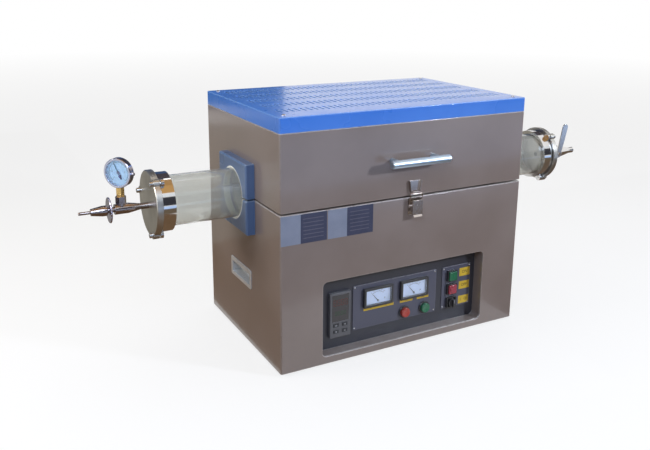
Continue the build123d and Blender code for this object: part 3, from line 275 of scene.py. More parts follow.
# Orange peel is soft noise about a millimetre across; the tone drifts slowly over a hand's width.
peel_group, given, result = shader_group(
    "enamel_skin", {"Peel Size": ("Float", 900.0), "Drift Size": ("Float", 7.0)},
    {"Height": "Float", "Tone": "Float", "Speck": "Float"})
where = shader(peel_group, "TexCoord")
peel = shader(peel_group, "TexNoise", Detail=1.5, Roughness=0.45)
drift = shader(peel_group, "TexNoise", Detail=3.0, Roughness=0.55)
speck = shader(peel_group, "TexNoise", Scale=2600.0, Detail=0.0)
for noise in (peel, drift, speck):
    peel_group.links.new(where.outputs["Object"], noise.inputs["Vector"])
peel_group.links.new(given.outputs["Peel Size"], peel.inputs["Scale"])
peel_group.links.new(given.outputs["Drift Size"], drift.inputs["Scale"])
peel_group.links.new(peel.outputs[0], result.inputs["Height"])
peel_group.links.new(drift.outputs[0], result.inputs["Tone"])
peel_group.links.new(speck.outputs[0], result.inputs["Speck"])

# Edge wear and painted highlight: a pale colour where the rounded normal turns away from the flat one,
# broken up by noise. It is strongest on the upper edges, which catch hands and light; there it is
# mostly a painted highlight of light from above rather than wear.
edge_wear_and_highlight_group, given, result = shader_group(
    "edge_wear_and_highlight", {"Reach": ("Float", 0.0015), "Breakup": ("Float", 160.0)}, {"Mask": "Float"})
where = shader(edge_wear_and_highlight_group, "TexCoord")
rounded = shader(edge_wear_and_highlight_group, "Bevel", samples=4)
shape = shader(edge_wear_and_highlight_group, "NewGeometry")
turned_away = shader(edge_wear_and_highlight_group, "VectorMath", operation="DOT_PRODUCT")
gap = shader(edge_wear_and_highlight_group, "MapRange", From_Min=0.997, From_Max=0.955)
facing = shader(edge_wear_and_highlight_group, "SeparateXYZ")
# Upward-facing bevels take more of the pale edge colour: a painted highlight.
upper = shader(edge_wear_and_highlight_group, "MapRange", From_Min=0.12, From_Max=0.45, To_Min=0.22, To_Max=1.0)
edged = shader(edge_wear_and_highlight_group, "Math", operation="MULTIPLY")
ragged = shader(edge_wear_and_highlight_group, "TexNoise", Detail=4.0, Roughness=0.65)
threshold = shader(edge_wear_and_highlight_group, "MapRange", From_Min=0.28, From_Max=0.48)
mask = shader(edge_wear_and_highlight_group, "Math", operation="MULTIPLY", use_clamp=True)
edge_wear_and_highlight_group.links.new(given.outputs["Reach"], rounded.inputs["Radius"])
edge_wear_and_highlight_group.links.new(rounded.outputs[0], turned_away.inputs[0])
edge_wear_and_highlight_group.links.new(shape.outputs["Normal"], turned_away.inputs[1])
edge_wear_and_highlight_group.links.new(turned_away.outputs["Value"], gap.inputs["Value"])
edge_wear_and_highlight_group.links.new(where.outputs["Object"], ragged.inputs["Vector"])
edge_wear_and_highlight_group.links.new(given.outputs["Breakup"], ragged.inputs["Scale"])
edge_wear_and_highlight_group.links.new(ragged.outputs[0], threshold.inputs["Value"])
edge_wear_and_highlight_group.links.new(rounded.outputs[0], facing.inputs[0])
edge_wear_and_highlight_group.links.new(facing.outputs["Z"], upper.inputs["Value"])
edge_wear_and_highlight_group.links.new(gap.outputs[0], edged.inputs[0])
edge_wear_and_highlight_group.links.new(upper.outputs[0], edged.inputs[1])
edge_wear_and_highlight_group.links.new(edged.outputs[0], mask.inputs[0])
edge_wear_and_highlight_group.links.new(threshold.outputs[0], mask.inputs[1])
edge_wear_and_highlight_group.links.new(mask.outputs[0], result.inputs["Mask"])

# Dust settles on what faces up, thicker in drifts. The blue cover uses this mask for a painted pale cyan sheen on
# its top.
dust_group, given, result = shader_group("settled_dust", {"Amount": ("Float", 0.3)},
                                         {"Mask": "Float"})
where = shader(dust_group, "TexCoord")
shape = shader(dust_group, "NewGeometry")
parts = shader(dust_group, "SeparateXYZ")
facing_up = shader(dust_group, "MapRange", From_Min=0.55, From_Max=1.0)
drifts = shader(dust_group, "TexNoise", Scale=26.0, Detail=5.0, Roughness=0.62)
thick = shader(dust_group, "MapRange", From_Min=0.35, From_Max=0.75)
lying = shader(dust_group, "Math", operation="MULTIPLY")
amount = shader(dust_group, "Math", operation="MULTIPLY", use_clamp=True)
dust_group.links.new(shape.outputs["Normal"], parts.inputs[0])
dust_group.links.new(parts.outputs["Z"], facing_up.inputs["Value"])
dust_group.links.new(where.outputs["Object"], drifts.inputs["Vector"])
dust_group.links.new(drifts.outputs[0], thick.inputs["Value"])
dust_group.links.new(facing_up.outputs[0], lying.inputs[0])
dust_group.links.new(thick.outputs[0], lying.inputs[1])
dust_group.links.new(lying.outputs[0], amount.inputs[0])
dust_group.links.new(given.outputs["Amount"], amount.inputs[1])
dust_group.links.new(amount.outputs[0], result.inputs["Mask"])


def colour_mix(tree, first, second, factor):
    """Mixes two colours, each a value or a socket, by a mask socket."""
    made = shader(tree, "Mix", data_type="RGBA")
    sockets = [s for s in made.inputs if s.type == "RGBA"]
    for socket, colour in zip(sockets, (first, second)):
        if isinstance(colour, bpy.types.NodeSocket):
            tree.links.new(colour, socket)
        else:
            socket.default_value = (*colour, 1.0)
    tree.links.new(factor, made.inputs["Factor"])
    return next(s for s in made.outputs if s.type == "RGBA")


def spread(tree, source, low, high, from_low=0.3, from_high=0.7):
    """Carries a noise value onto a range."""
    made = shader(tree, "MapRange", From_Min=from_low, From_Max=from_high, To_Min=low, To_Max=high)
    tree.links.new(source, made.inputs["Value"])
    return made.outputs[0]


def bump(tree, skin, height, strength, distance):
    """Raises a height map a little above the surface."""
    made = shader(tree, "Bump", Strength=strength, Distance=distance)
    tree.links.new(height, made.inputs["Height"])
    tree.links.new(made.outputs[0], skin.inputs["Normal"])


def enamel(name, light, deep, worn_and_highlit, gloss=(0.30, 0.42), dust=0.25, coat=0.25,
           dust_and_sheen_tone=(0.55, 0.53, 0.50)):
    """Stoved enamel: two close tones, orange peel, thin paint and a painted highlight along the edges, and dust on
    top (on the blue cover a painted pale sheen).
    """
    material, tree, skin = new_material(name)
    peel = use_group(tree, peel_group)
    wear_and_highlight = use_group(tree, edge_wear_and_highlight_group, Reach=0.0032)
    dusty = use_group(tree, dust_group, Amount=dust)
    tone = colour_mix(tree, deep, light, spread(tree, peel.outputs["Tone"], 0.0, 1.0))
    worn_and_highlit_edges = colour_mix(tree, tone, worn_and_highlit, wear_and_highlight.outputs["Mask"])
    top = colour_mix(tree, worn_and_highlit_edges, dust_and_sheen_tone, dusty.outputs["Mask"])
    tree.links.new(top, skin.inputs["Base Color"])
    tree.links.new(spread(tree, peel.outputs["Tone"], *gloss), skin.inputs["Roughness"])
    skin.inputs["Coat Weight"].default_value = coat
    skin.inputs["Coat Roughness"].default_value = 0.12
    bump(tree, skin, peel.outputs["Height"], 0.10, 0.0004)
    return material


def eased(node, radius, material, segments=2, name=None):
    """A CAD node's own form with its sharp edges rounded.

    The node's triangles are copied, doubles are merged and flat faces joined, and every edge
    sharper than half a right angle is bevelled to the radius.
    """
    source = frame["nodes"][node]
    mesh = source.data.copy()
    mesh.name = name or node + "_skin"
    mesh.materials.clear()
    mesh.materials.append(material)
    solid = bmesh.new()
    solid.from_mesh(mesh)
    bmesh.ops.remove_doubles(solid, verts=solid.verts, dist=0.000002)
    bmesh.ops.dissolve_limit(solid, angle_limit=math.radians(0.6), verts=solid.verts,
                             edges=solid.edges)
    solid.to_mesh(mesh)
    solid.free()
    for polygon in mesh.polygons:
        polygon.material_index = 0
    if "custom_normal" in mesh.attributes:
        mesh.attributes.remove(mesh.attributes["custom_normal"])
    mesh.shade_smooth()
    mesh.set_sharp_from_angle(angle=math.radians(32))
    piece = bpy.data.objects.new(mesh.name, mesh)
    scene.collection.objects.link(piece)
    if radius:
        rounding = piece.modifiers.new("rounding", "BEVEL")
        rounding.width = radius
        rounding.segments = segments
        rounding.limit_method = "ANGLE"
        rounding.angle_limit = math.radians(40)
        rounding.harden_normals = True
        rounding.use_clamp_overlap = True
    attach(piece, source["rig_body"])
    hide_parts(node)
    return piece


# Its pale edge colour is partly worn paint and partly a painted highlight along the upper edges.
casing_enamel = enamel("casing_enamel", (0.226, 0.184, 0.168), (0.195, 0.155, 0.138),
                       (0.70, 0.67, 0.66), coat=0.7)
eased("lower_casing", 0.8 * mm, casing_enamel)


# ==== Base plate, feet and shelf ===================================================================
# The casing is closed below by a zinc-plated plate on four turned rubber feet, and a folded
# shelf inside it carries the fibre block.
def plated(name, light, deep, gloss, grain=(1.0, 1.0, 1.0), grain_size=700.0, dust=0.1,
           depth=0.00006, strength=0.25,
           metallic=1.0):
    """Bare or plated metal: its grain is noise drawn out along the axes where the scale is small."""
    material, tree, skin = new_material(name)
    where = shader(tree, "TexCoord")
    along = shader(tree, "Mapping", Scale=grain)
    lines = shader(tree, "TexNoise", Scale=grain_size, Detail=3.0, Roughness=0.6)
    patch = shader(tree, "TexNoise", Scale=22.0, Detail=4.0, Roughness=0.6)
    dusty = use_group(tree, dust_group, Amount=dust)
    tree.links.new(where.outputs["Object"], along.inputs["Vector"])
    tree.links.new(along.outputs[0], lines.inputs["Vector"])
    tree.links.new(where.outputs["Object"], patch.inputs["Vector"])
    tone = colour_mix(tree, deep, light, spread(tree, patch.outputs[0], 0.0, 1.0))
    top = colour_mix(tree, tone, (0.50, 0.48, 0.45), dusty.outputs["Mask"])
    tree.links.new(top, skin.inputs["Base Color"])
    tree.links.new(spread(tree, lines.outputs[0], *gloss), skin.inputs["Roughness"])
    skin.inputs["Metallic"].default_value = metallic
    bump(tree, skin, lines.outputs[0], strength, depth)
    return material


def moulded(name, light, deep, gloss=(0.38, 0.52), grain_size=1500.0, depth=0.00012, coat=0.0,
            dust=0.12):
    """A moulding: fine spark-eroded grain and a slow change of tone."""
    material, tree, skin = new_material(name)
    skin_of = use_group(tree, peel_group, Peel_Size=grain_size, Drift_Size=30.0)
    dusty = use_group(tree, dust_group, Amount=dust)
    tone = colour_mix(tree, deep, light, spread(tree, skin_of.outputs["Tone"], 0.0, 1.0))
    top = colour_mix(tree, tone, (0.50, 0.48, 0.45), dusty.outputs["Mask"])
    tree.links.new(top, skin.inputs["Base Color"])
    tree.links.new(spread(tree, skin_of.outputs["Speck"], *gloss), skin.inputs["Roughness"])
    skin.inputs["Coat Weight"].default_value = coat
    bump(tree, skin, skin_of.outputs["Height"], 0.22, depth)
    return material


zinc_sheet = plated("zinc_sheet", (0.52, 0.53, 0.54), (0.40, 0.41, 0.43), (0.32, 0.50),
                    grain_size=260.0)
foot_rubber = moulded("foot_rubber", (0.030, 0.030, 0.031), (0.018, 0.018, 0.019), (0.62, 0.80),
                      900.0)
eased("base_plate", 0.3 * mm, zinc_sheet)
eased("lower_deck", 0.3 * mm, zinc_sheet)
eased("rubber_feet", 0.6 * mm, foot_rubber)


# ==== Blank front plates ===========================================================================
# Two printed aluminium plates stand on the front under the seam, left blank: each is a pale field
# and a navy field with plain ruled lines. They are thin film on sheet, glued flat to the casing.
def piece_from(name, points, faces, material, body, node=None, slot=None, smooth=True, sharp=32):
    """A mesh piece from arrays of points and faces, riding on a body and standing for a node."""
    mesh = bpy.data.meshes.new(name)
    mesh.from_pydata(np.asarray(points, float).tolist(), [],
                     [tuple(map(int, face)) for face in faces])
    mesh.materials.append(material)
    if smooth:
        mesh.shade_smooth()
        mesh.set_sharp_from_angle(angle=math.radians(sharp))
    piece = bpy.data.objects.new(name, mesh)
    scene.collection.objects.link(piece)
    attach(piece, body)
    if node:
        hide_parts(node)
    return piece
def pressed_shape(outlines, plane, near, far):
    """Points and faces of flat shapes. The plane is (origin, right, up), and faces right x up.

    A corner (a, b) of an outline goes to origin + a * right + b * up, once at each of the two
    heights above the plane; the caps follow the outline, and each side joins two of its corners.
    """
    origin, right, up = (np.array(v, float) for v in plane)
    out = np.cross(right, up)
    points, faces, offset = [], [], 0
    for outline in outlines:
        outline = np.asarray(outline, float)
        ahead = np.roll(outline, -1, axis=0)
        if (outline[:, 0] * ahead[:, 1] - ahead[:, 0] * outline[:, 1]).sum() < 0:
            outline = outline[::-1]
        count = len(outline)
        flat = origin + outline[:, :1] * right + outline[:, 1:] * up
        points += [flat + near * out, flat + far * out]
        one = np.arange(count)
        two = (one + 1) % count
        faces += (np.stack([one, two, two + count, one + count], 1) + offset).tolist()
        faces += [(one + count + offset).tolist(), (one[::-1] + offset).tolist()]
        offset += 2 * count
    return np.vstack(points), faces


def rectangle(x, z, width, height):
    """The four corners of an upright rectangle about its middle."""
    return [(x - width / 2, z - height / 2), (x + width / 2, z - height / 2),
            (x + width / 2, z + height / 2), (x - width / 2, z + height / 2)]


front_plane = ((casing_x, front_y, foot_top), (1, 0, 0), (0, 0, 1))
plate_z, plate_h = 288.0 * mm, 57.0 * mm
plate_t, print_t = 0.4 * mm, 0.05 * mm
plate_pale = moulded("plate_pale", (0.235, 0.270, 0.360), (0.200, 0.232, 0.315), (0.26, 0.38),
                     2200.0, coat=0.2)
plate_navy = moulded("plate_navy", (0.052, 0.060, 0.108), (0.040, 0.047, 0.088), (0.26, 0.38),
                     2200.0, coat=0.2)
ruled_grey = moulded("ruled_grey", (0.112, 0.108, 0.150), (0.092, 0.090, 0.130), (0.4, 0.5), 2200.0)
for name, fields, material in (("pale_plates", ((-285, -244.2), (-187, -145.2)), plate_pale),
                               ("navy_plates", ((-244, -189.0), (-145, -87.0)), plate_navy)):
    shapes = [rectangle((a + b) / 2 * mm, plate_z, (b - a) * mm, plate_h) for a, b in fields]
    piece_from(name, *pressed_shape(shapes, front_plane, 0.0, plate_t), material, "base",
               slot="fascia_print")
rules = [rectangle((a + b) / 2 * mm, plate_z + (k - 2.5) * 7.5 * mm, (b - a) * mm, 1.6 * mm)
         for a, b in ((-239, -196), (-139, -96)) for k in range(6)]
piece_from("plate_rules", *pressed_shape(rules, front_plane, plate_t, plate_t + print_t),
           ruled_grey, "base",
           slot="fascia_print")


# ==== Lid ==========================================================================================
# The lid is a second box of the same sheet and enamel, turned in at the seam and under the cover,
# with four drilled posts for the cover's screws.
eased("lid_shell", 0.8 * mm, casing_enamel)


# ==== Vent cover and its screws ====================================================================
# A shallow blue tray with five rows of punched slots lies over the lid, held by four plated
# screws with a cross-shaped drive.
# On the cover, the pale cyan colour on what faces up is a painted sheen on the top, and the pale blue edge colour a
# painted highlight.
cover_enamel = enamel("cover_enamel", (0.045, 0.200, 0.70), (0.036, 0.172, 0.64),
                      (0.30, 0.50, 0.85),
                      gloss=(0.22, 0.34), dust=0.16, coat=0.5, dust_and_sheen_tone=(0.42, 0.58, 0.80))
bright_plate = plated("bright_plate", (0.80, 0.80, 0.79), (0.66, 0.66, 0.66), (0.10, 0.24),
                      grain_size=420.0)
eased("top_cover", 0.7 * mm, cover_enamel)
eased("cover_screws", 0.2 * mm, bright_plate)


# ==== Fibre insulation, heater shells and coils ====================================================
# Two vacuum-formed fibre blocks fill the casing and the lid. Each holds a moulded half shell with
# grooves, and in every groove lies a close-wound coil of oxidised heating wire.
def fibrous(name, light, deep, thread_size):
    """Felted ceramic fibre: tangled threads from warped noise, soft and without gloss."""
    material, tree, skin = new_material(name)
    where = shader(tree, "TexCoord")
    tangle = shader(tree, "TexNoise", Scale=thread_size, Detail=6.0, Roughness=0.7, Distortion=1.6)
    pits = shader(tree, "TexVoronoi", Scale=thread_size * 0.35)
    cloud = shader(tree, "TexNoise", Scale=14.0, Detail=3.0)
    for texture in (tangle, pits, cloud):
        tree.links.new(where.outputs["Object"], texture.inputs["Vector"])
    relief = shader(tree, "Math", operation="MULTIPLY_ADD")
    relief.inputs[1].default_value = 0.4
    tree.links.new(pits.outputs["Distance"], relief.inputs[0])
    tree.links.new(tangle.outputs[0], relief.inputs[2])
    tone = colour_mix(tree, deep, light, spread(tree, tangle.outputs[0], 0.0, 1.0))
    stained = colour_mix(tree, tone, (0.72, 0.66, 0.56),
                         spread(tree, cloud.outputs[0], 0.0, 0.35, 0.5, 0.8))
    tree.links.new(stained, skin.inputs["Base Color"])
    skin.inputs["Roughness"].default_value = 0.95
    skin.inputs["Sheen Weight"].default_value = 0.25
    bump(tree, skin, relief.outputs[0], 0.5, 0.0008)
    return material


board = fibrous("fibre_board", (0.88, 0.87, 0.84), (0.74, 0.73, 0.69), 420.0)
shell_fibre = fibrous("heater_shell_fibre", (0.84, 0.81, 0.75), (0.70, 0.66, 0.59), 620.0)
for half in ("lower", "upper"):
    eased(f"{half}_insulation", 0.8 * mm, board)
    eased(f"{half}_heater_shell", 0.4 * mm, shell_fibre)


def grid_faces(rows, columns, wrap_rows=False, wrap_columns=True):
    """Quads between neighbouring points of a grid that is stored row by row."""
    row, column = np.meshgrid(np.arange(rows - (not wrap_rows)),
                              np.arange(columns - (not wrap_columns)), indexing="ij")
    below, beside = (row + 1) % rows, (column + 1) % columns
    corners = (row * columns + column, row * columns + beside, below * columns + beside,
               below * columns + column)
    return np.stack(corners, -1).reshape(-1, 4)


def tube_along(path, radius, sides):
    """A closed tube round a path.

    Each ring stands square to the path: its two directions are the path's tangent crossed with a
    fixed helper, and the tangent crossed with that. Both ends are closed by a point at their middle.
    """
    tangent = np.gradient(path, axis=0)
    tangent /= np.linalg.norm(tangent, axis=1)[:, None]
    helper = np.array([0.31, 0.72, 0.62])
    first = np.cross(tangent, helper)
    first /= np.linalg.norm(first, axis=1)[:, None]
    second = np.cross(tangent, first)
    angle = np.linspace(0, 2 * np.pi, sides, endpoint=False)
    ring = np.cos(angle)[None, :, None] * first[:, None] + np.sin(angle)[None, :, None] * second[:, None]
    points = (path[:, None] + radius * ring).reshape(-1, 3)
    count = len(path)
    faces = grid_faces(count, sides).tolist()
    side = np.arange(sides)
    start, stop = len(points), len(points) + 1
    points = np.vstack([points, path[0], path[-1]])
    caps = [(start, (s + 1) % sides, s) for s in side]
    caps += [(stop, (count - 1) * sides + s, (count - 1) * sides + (s + 1) % sides) for s in side]
    return points, faces, caps


coil_wire = plated("heating_wire", (0.20, 0.17, 0.15), (0.09, 0.08, 0.075), (0.55, 0.75),
                   grain_size=900.0, dust=0.0)
coil_runs, coil_outer, wire_r, turn_pitch = 6, 4.0 * mm, 0.75 * mm, 3.4 * mm
tube_low, tube_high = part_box("quartz_tube")
axis_y, axis_z = (tube_low.y + tube_high.y) / 2, (tube_low.z + tube_high.z) / 2
for half, first_angle, lift in (("lower", math.pi, -1), ("upper", 0.0, 1)):
    low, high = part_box(f"{half}_heating_coils")
    circle_r = (high.y - low.y - 2 * coil_outer) / 2 / math.cos(math.pi / coil_runs / 2)
    all_points, all_faces, offset = [], [], 0
    for run in range(coil_runs):
        angle = first_angle + math.pi / coil_runs * (run + 0.5)
        y0, z0 = axis_y + circle_r * math.cos(angle), axis_z + circle_r * math.sin(angle)
        turns = (high.x - low.x) / turn_pitch
        t = np.linspace(0, 1, int(turns * 9))
        wound = coil_outer - wire_r
        path = np.stack([low.x + wire_r + t * (high.x - low.x - 2 * wire_r),
                         y0 + wound * np.cos(2 * np.pi * turns * t),
                         z0 + wound * np.sin(2 * np.pi * turns * t)], 1)
        points, faces, caps = tube_along(path, wire_r, 5)
        all_points.append(points)
        all_faces += [[i + offset for i in face] for face in faces + caps]
        offset += len(points)
    for run in range(coil_runs - 1):
        end = low.x + 2 * coil_outer if run % 2 == 0 else high.x - 2 * coil_outer
        angles = [first_angle + math.pi / coil_runs * (run + k + 0.5) for k in (0, 1)]
        ends = [np.array([end, axis_y + circle_r * math.cos(a),
                          axis_z + circle_r * math.sin(a)]) for a in angles]
        path = np.linspace(ends[0], ends[1], 6)
        points, faces, caps = tube_along(path, wire_r * 1.6, 8)
        all_points.append(points)
        all_faces += [[i + offset for i in face] for face in faces + caps]
        offset += len(points)
    mesh = bpy.data.meshes.new(f"{half}_coil_winding")
    mesh.from_pydata(np.vstack(all_points).tolist(), [], all_faces)
    mesh.materials.append(coil_wire)
    mesh.shade_smooth()
    winding = bpy.data.objects.new(f"{half}_coil_winding", mesh)
    scene.collection.objects.link(winding)
    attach(winding, "base" if half == "lower" else "lid")
    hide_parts(f"{half}_heating_coils")


# ==== Quartz tube and thermocouple =================================================================
# The work tube is drawn fused quartz, 100 mm across with a 3 mm wall, cut square and fire-polished
# at both ends. The thermocouple's ceramic sheath stands under its middle.
def lathe(profile, centre, direction, sides=96):
    """A turned piece: a closed profile of (place along the axis, radius) carried round the axis.

    Point (a, r) goes to centre + a * direction + r * (cos t * u + sin t * v), with u and v square
    to the direction, so the whole surface is one grid of profile points by angles.
    """
    direction = np.array(Vector(direction).normalized())
    helper = np.array([0.0, 0.0, 1.0]) if abs(direction[2]) < 0.9 else np.array([1.0, 0.0, 0.0])
    u = np.cross(direction, helper)
    u /= np.linalg.norm(u)
    v = np.cross(direction, u)
    profile = np.asarray(profile, float)
    t = np.linspace(0, 2 * np.pi, sides, endpoint=False)
    ring = np.cos(t)[:, None] * u + np.sin(t)[:, None] * v
    points = (np.array(centre)[None, None] + profile[:, 0, None, None] * direction
              + profile[:, 1, None, None] * ring[None])
    return points.reshape(-1, 3), grid_faces(len(profile), sides, wrap_rows=True)


def recalculated(piece):
    """Merges the points that meet and turns every face outwards."""
    solid = bmesh.new()
    solid.from_mesh(piece.data)
    bmesh.ops.remove_doubles(solid, verts=solid.verts, dist=0.000001)
    bmesh.ops.dissolve_degenerate(solid, edges=solid.edges, dist=0.000001)
    bmesh.ops.recalc_face_normals(solid, faces=solid.faces)
    solid.to_mesh(piece.data)
    solid.free()
    piece.data.shade_smooth()
    piece.data.set_sharp_from_angle(angle=math.radians(35))
    return piece


def rounded_corner(at, start, stop, radius, steps=5):
    """Points of a quarter arc, as (place, radius), about the corner's own centre."""
    angle = np.radians(np.linspace(start, stop, steps))
    return [(at[0] + radius * math.cos(a), at[1] + radius * math.sin(a)) for a in angle]


quartz, tree, skin = new_material("fused_quartz")
where = shader(tree, "TexCoord")
draw = shader(tree, "Mapping", Scale=(0.6, 9.0, 9.0))
streak = shader(tree, "TexNoise", Scale=40.0, Detail=2.0)
tree.links.new(where.outputs["Object"], draw.inputs["Vector"])
tree.links.new(draw.outputs[0], streak.inputs["Vector"])
# The beige-grey base colour, which shows in the part of the glass that does not transmit, is a painted stand-in for
# the pale room seen through the tube.
painted_room_tint = colour_mix(tree, (0.70, 0.70, 0.665), (0.78, 0.78, 0.745), streak.outputs[0])
tree.links.new(painted_room_tint, skin.inputs["Base Color"])
tree.links.new(spread(tree, streak.outputs[0], 0.0, 0.03), skin.inputs["Roughness"])
skin.inputs["Transmission Weight"].default_value = 0.86
skin.inputs["IOR"].default_value = 1.458
bump(tree, skin, streak.outputs[0], 0.04, 0.0005)
path = shader(tree, "LightPath")
clear = shader(tree, "BsdfTransparent", Color=(0.86, 0.86, 0.83, 1.0))
lit_through = shader(tree, "MixShader")
tree.links.new(path.outputs["Is Shadow Ray"], lit_through.inputs[0])
tree.links.new(skin.outputs[0], lit_through.inputs[1])
tree.links.new(clear.outputs[0], lit_through.inputs[2])
tree.links.new(lit_through.outputs[0], tree.nodes["Material Output"].inputs[0])

outer, inner, lip = (tube_high.z - tube_low.z) / 2, (tube_high.z - tube_low.z) / 2 - 3.0 * mm, 0.8 * mm
hold = 0.6 * mm
ends = []
for x, turn in ((tube_low.x, 1), (tube_high.x, -1)):
    arc = rounded_corner((x + lip, inner + lip), 270, 180,
                         lip) + rounded_corner((x + lip, outer - lip), 180, 90, lip)
    arc = [(x + lip + hold, inner)] + arc + [(x + lip + hold, outer)]
    if turn < 0:
        arc = [(2 * x - a, r) for a, r in arc]
    ends.append(arc)
profile = ends[0] + ends[1][::-1]
points, faces = lathe([(a - casing_x, r) for a, r in profile], (casing_x, axis_y, axis_z),
                      (1, 0, 0), 128)
recalculated(piece_from("quartz_tube_glass", points, faces, quartz, "base", "quartz_tube"))

sheath = moulded("sheath_ceramic", (0.80, 0.76, 0.68), (0.70, 0.66, 0.58), (0.55, 0.7))
eased("thermocouple", 0.4 * mm, sheath)


# ==== Collar plates ================================================================================
# Blue plates ring the tube on both side walls, split at the seam so that the upper half lifts
# with the lid. Their bores are lined with the same enamel.
collar_enamel = enamel("collar_enamel", (0.085, 0.150, 0.300), (0.066, 0.122, 0.255),
                       (0.26, 0.36, 0.52),
                       gloss=(0.24, 0.36), dust=0.2, coat=0.3)
for half in ("lower", "upper"):
    eased(f"{half}_collar_plates", 0.8 * mm, collar_enamel)


def arc_band(radius, width, start, stop, steps):
    """Outline of an arc: out along the larger radius and back along the smaller, clockwise from the top."""
    angle = np.radians(np.linspace(start, stop, steps))
    ring = np.stack([np.sin(angle), np.cos(angle)], 1)
    return np.vstack([ring * (radius + width / 2), ring[::-1] * (radius - width / 2)])


def joined(parts):
    """One array of points and one list of faces out of several."""
    points, faces, offset = [], [], 0
    for some_points, some_faces in parts:
        points.append(some_points)
        faces += [[i + offset for i in face] for face in some_faces]
        offset += len(some_points)
    return np.vstack(points), faces


# White fibre rope packs the gap between the tube and each plate, a half ring with each half.
packing = fibrous("packing_rope", (0.94, 0.94, 0.90), (0.82, 0.82, 0.77), 900.0)
collar_low, collar_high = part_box("lower_collar_plates")
for half, body, start in (("lower", "base", 92.5), ("upper", "lid", -87.5)):
    rope = arc_band(52.6 * mm, 4.2 * mm, start, start + 175, 49)
    rings = [pressed_shape([rope], ((collar_low.x, axis_y, axis_z), (0, -1, 0), (0, 0, 1)),
                           -13.0 * mm, -1.0 * mm),
             pressed_shape([rope], ((collar_high.x, axis_y, axis_z), (0, 1, 0), (0, 0, 1)),
                           -13.0 * mm, -1.0 * mm)]
    piece_from(f"{half}_packing", *joined(rings), packing, body, slot="fibre_board")


# ==== Sealing flanges ==============================================================================
# Each end of the tube carries a turned and polished stainless collar, an O-ring, and a faced end
# cover drawn up by three socket screws through ears.
def turned_steel(name, light, deep, gloss, ring_size, strength):
    """Lathe-turned steel: its marks are noise of the distance from the tube's axis."""
    material, tree, skin = new_material(name)
    where = shader(tree, "TexCoord")
    centred = shader(tree, "Mapping", Location=(0.0, -axis_y, -axis_z))
    split = shader(tree, "SeparateXYZ")
    flat = shader(tree, "CombineXYZ")
    distance = shader(tree, "VectorMath", operation="LENGTH")
    groove = shader(tree, "CombineXYZ")
    marks = shader(tree, "TexNoise", Scale=ring_size, Detail=3.0, Roughness=0.7)
    smear = shader(tree, "TexNoise", Scale=30.0, Detail=4.0)
    tree.links.new(where.outputs["Object"], centred.inputs["Vector"])
    tree.links.new(centred.outputs[0], split.inputs[0])
    tree.links.new(split.outputs["Y"], flat.inputs["Y"])
    tree.links.new(split.outputs["Z"], flat.inputs["Z"])
    tree.links.new(flat.outputs[0], distance.inputs[0])
    tree.links.new(split.outputs["X"], groove.inputs["X"])
    tree.links.new(distance.outputs["Value"], groove.inputs["Y"])
    tree.links.new(groove.outputs[0], marks.inputs["Vector"])
    tree.links.new(where.outputs["Object"], smear.inputs["Vector"])
    tree.links.new(colour_mix(tree, deep, light, spread(tree, smear.outputs[0], 0.0, 1.0)),
                   skin.inputs["Base Color"])
    tree.links.new(spread(tree, marks.outputs[0], *gloss), skin.inputs["Roughness"])
    skin.inputs["Metallic"].default_value = 1.0
    bump(tree, skin, marks.outputs[0], strength, 0.00005)
    return material


polished_steel = turned_steel("polished_steel", (0.80, 0.79, 0.78), (0.68, 0.67, 0.66),
                              (0.05, 0.13), 900.0, 0.15)
faced_steel = turned_steel("faced_steel", (0.58, 0.57, 0.53), (0.46, 0.45, 0.42), (0.26, 0.42),
                           1800.0, 0.35)
oring_rubber = moulded("oring_rubber", (0.36, 0.06, 0.04), (0.26, 0.04, 0.03), (0.45, 0.6))
eased("flange_collars", 0.5 * mm, polished_steel)
eased("flange_covers", 0.5 * mm, faced_steel)
eased("flange_orings", 0.0, oring_rubber)
eased("flange_screws", 0.3 * mm, bright_plate)


# ==== Inlet line ===================================================================================
# A stainless pipe and tee lead from the left cover to the gauge's brass neck, the handwheel and the
# needle valve with its hose stub.
fitting_steel = plated("fitting_steel", (0.50, 0.45, 0.43), (0.36, 0.31, 0.30), (0.12, 0.26),
                       grain=(0.3, 1.0, 1.0),
                       grain_size=700.0)
neck_brass = plated("neck_brass", (0.74, 0.53, 0.22), (0.60, 0.41, 0.15), (0.18, 0.34),
                    grain_size=500.0)
eased("inlet_tee", 0.5 * mm, fitting_steel)
eased("gauge_stem", 0.6 * mm, neck_brass)
eased("needle_valve", 0.3 * mm, fitting_steel)
wheel_plate = plated("wheel_plate", (0.66, 0.66, 0.84), (0.50, 0.50, 0.66), (0.16, 0.28),
                     grain_size=900.0)
eased("handwheel", 0.4 * mm, wheel_plate)


# ==== Pressure gauge ===============================================================================
# A pressed case with a rolled bezel holds a pale dial under glass. The scale is printed: an arc
# of three quarters of a turn with long and short marks and plain numbers.
gauge_metal = plated("gauge_metal", (0.58, 0.60, 0.72), (0.42, 0.44, 0.55), (0.08, 0.18),
                     grain_size=350.0)
eased("gauge_case", 0.5 * mm, gauge_metal)
joints = frame["record"]["behaviour"]["joints"]
turn_joint = next(joint for joint in joints if joint["name"] == "gauge_pointer_turn")
back_of = Vector(turn_joint["axis"]).normalized()
gauge_plane = (tuple(turn_joint["pos_m"]), (back_of.y, -back_of.x, 0.0), (0, 0, 1))


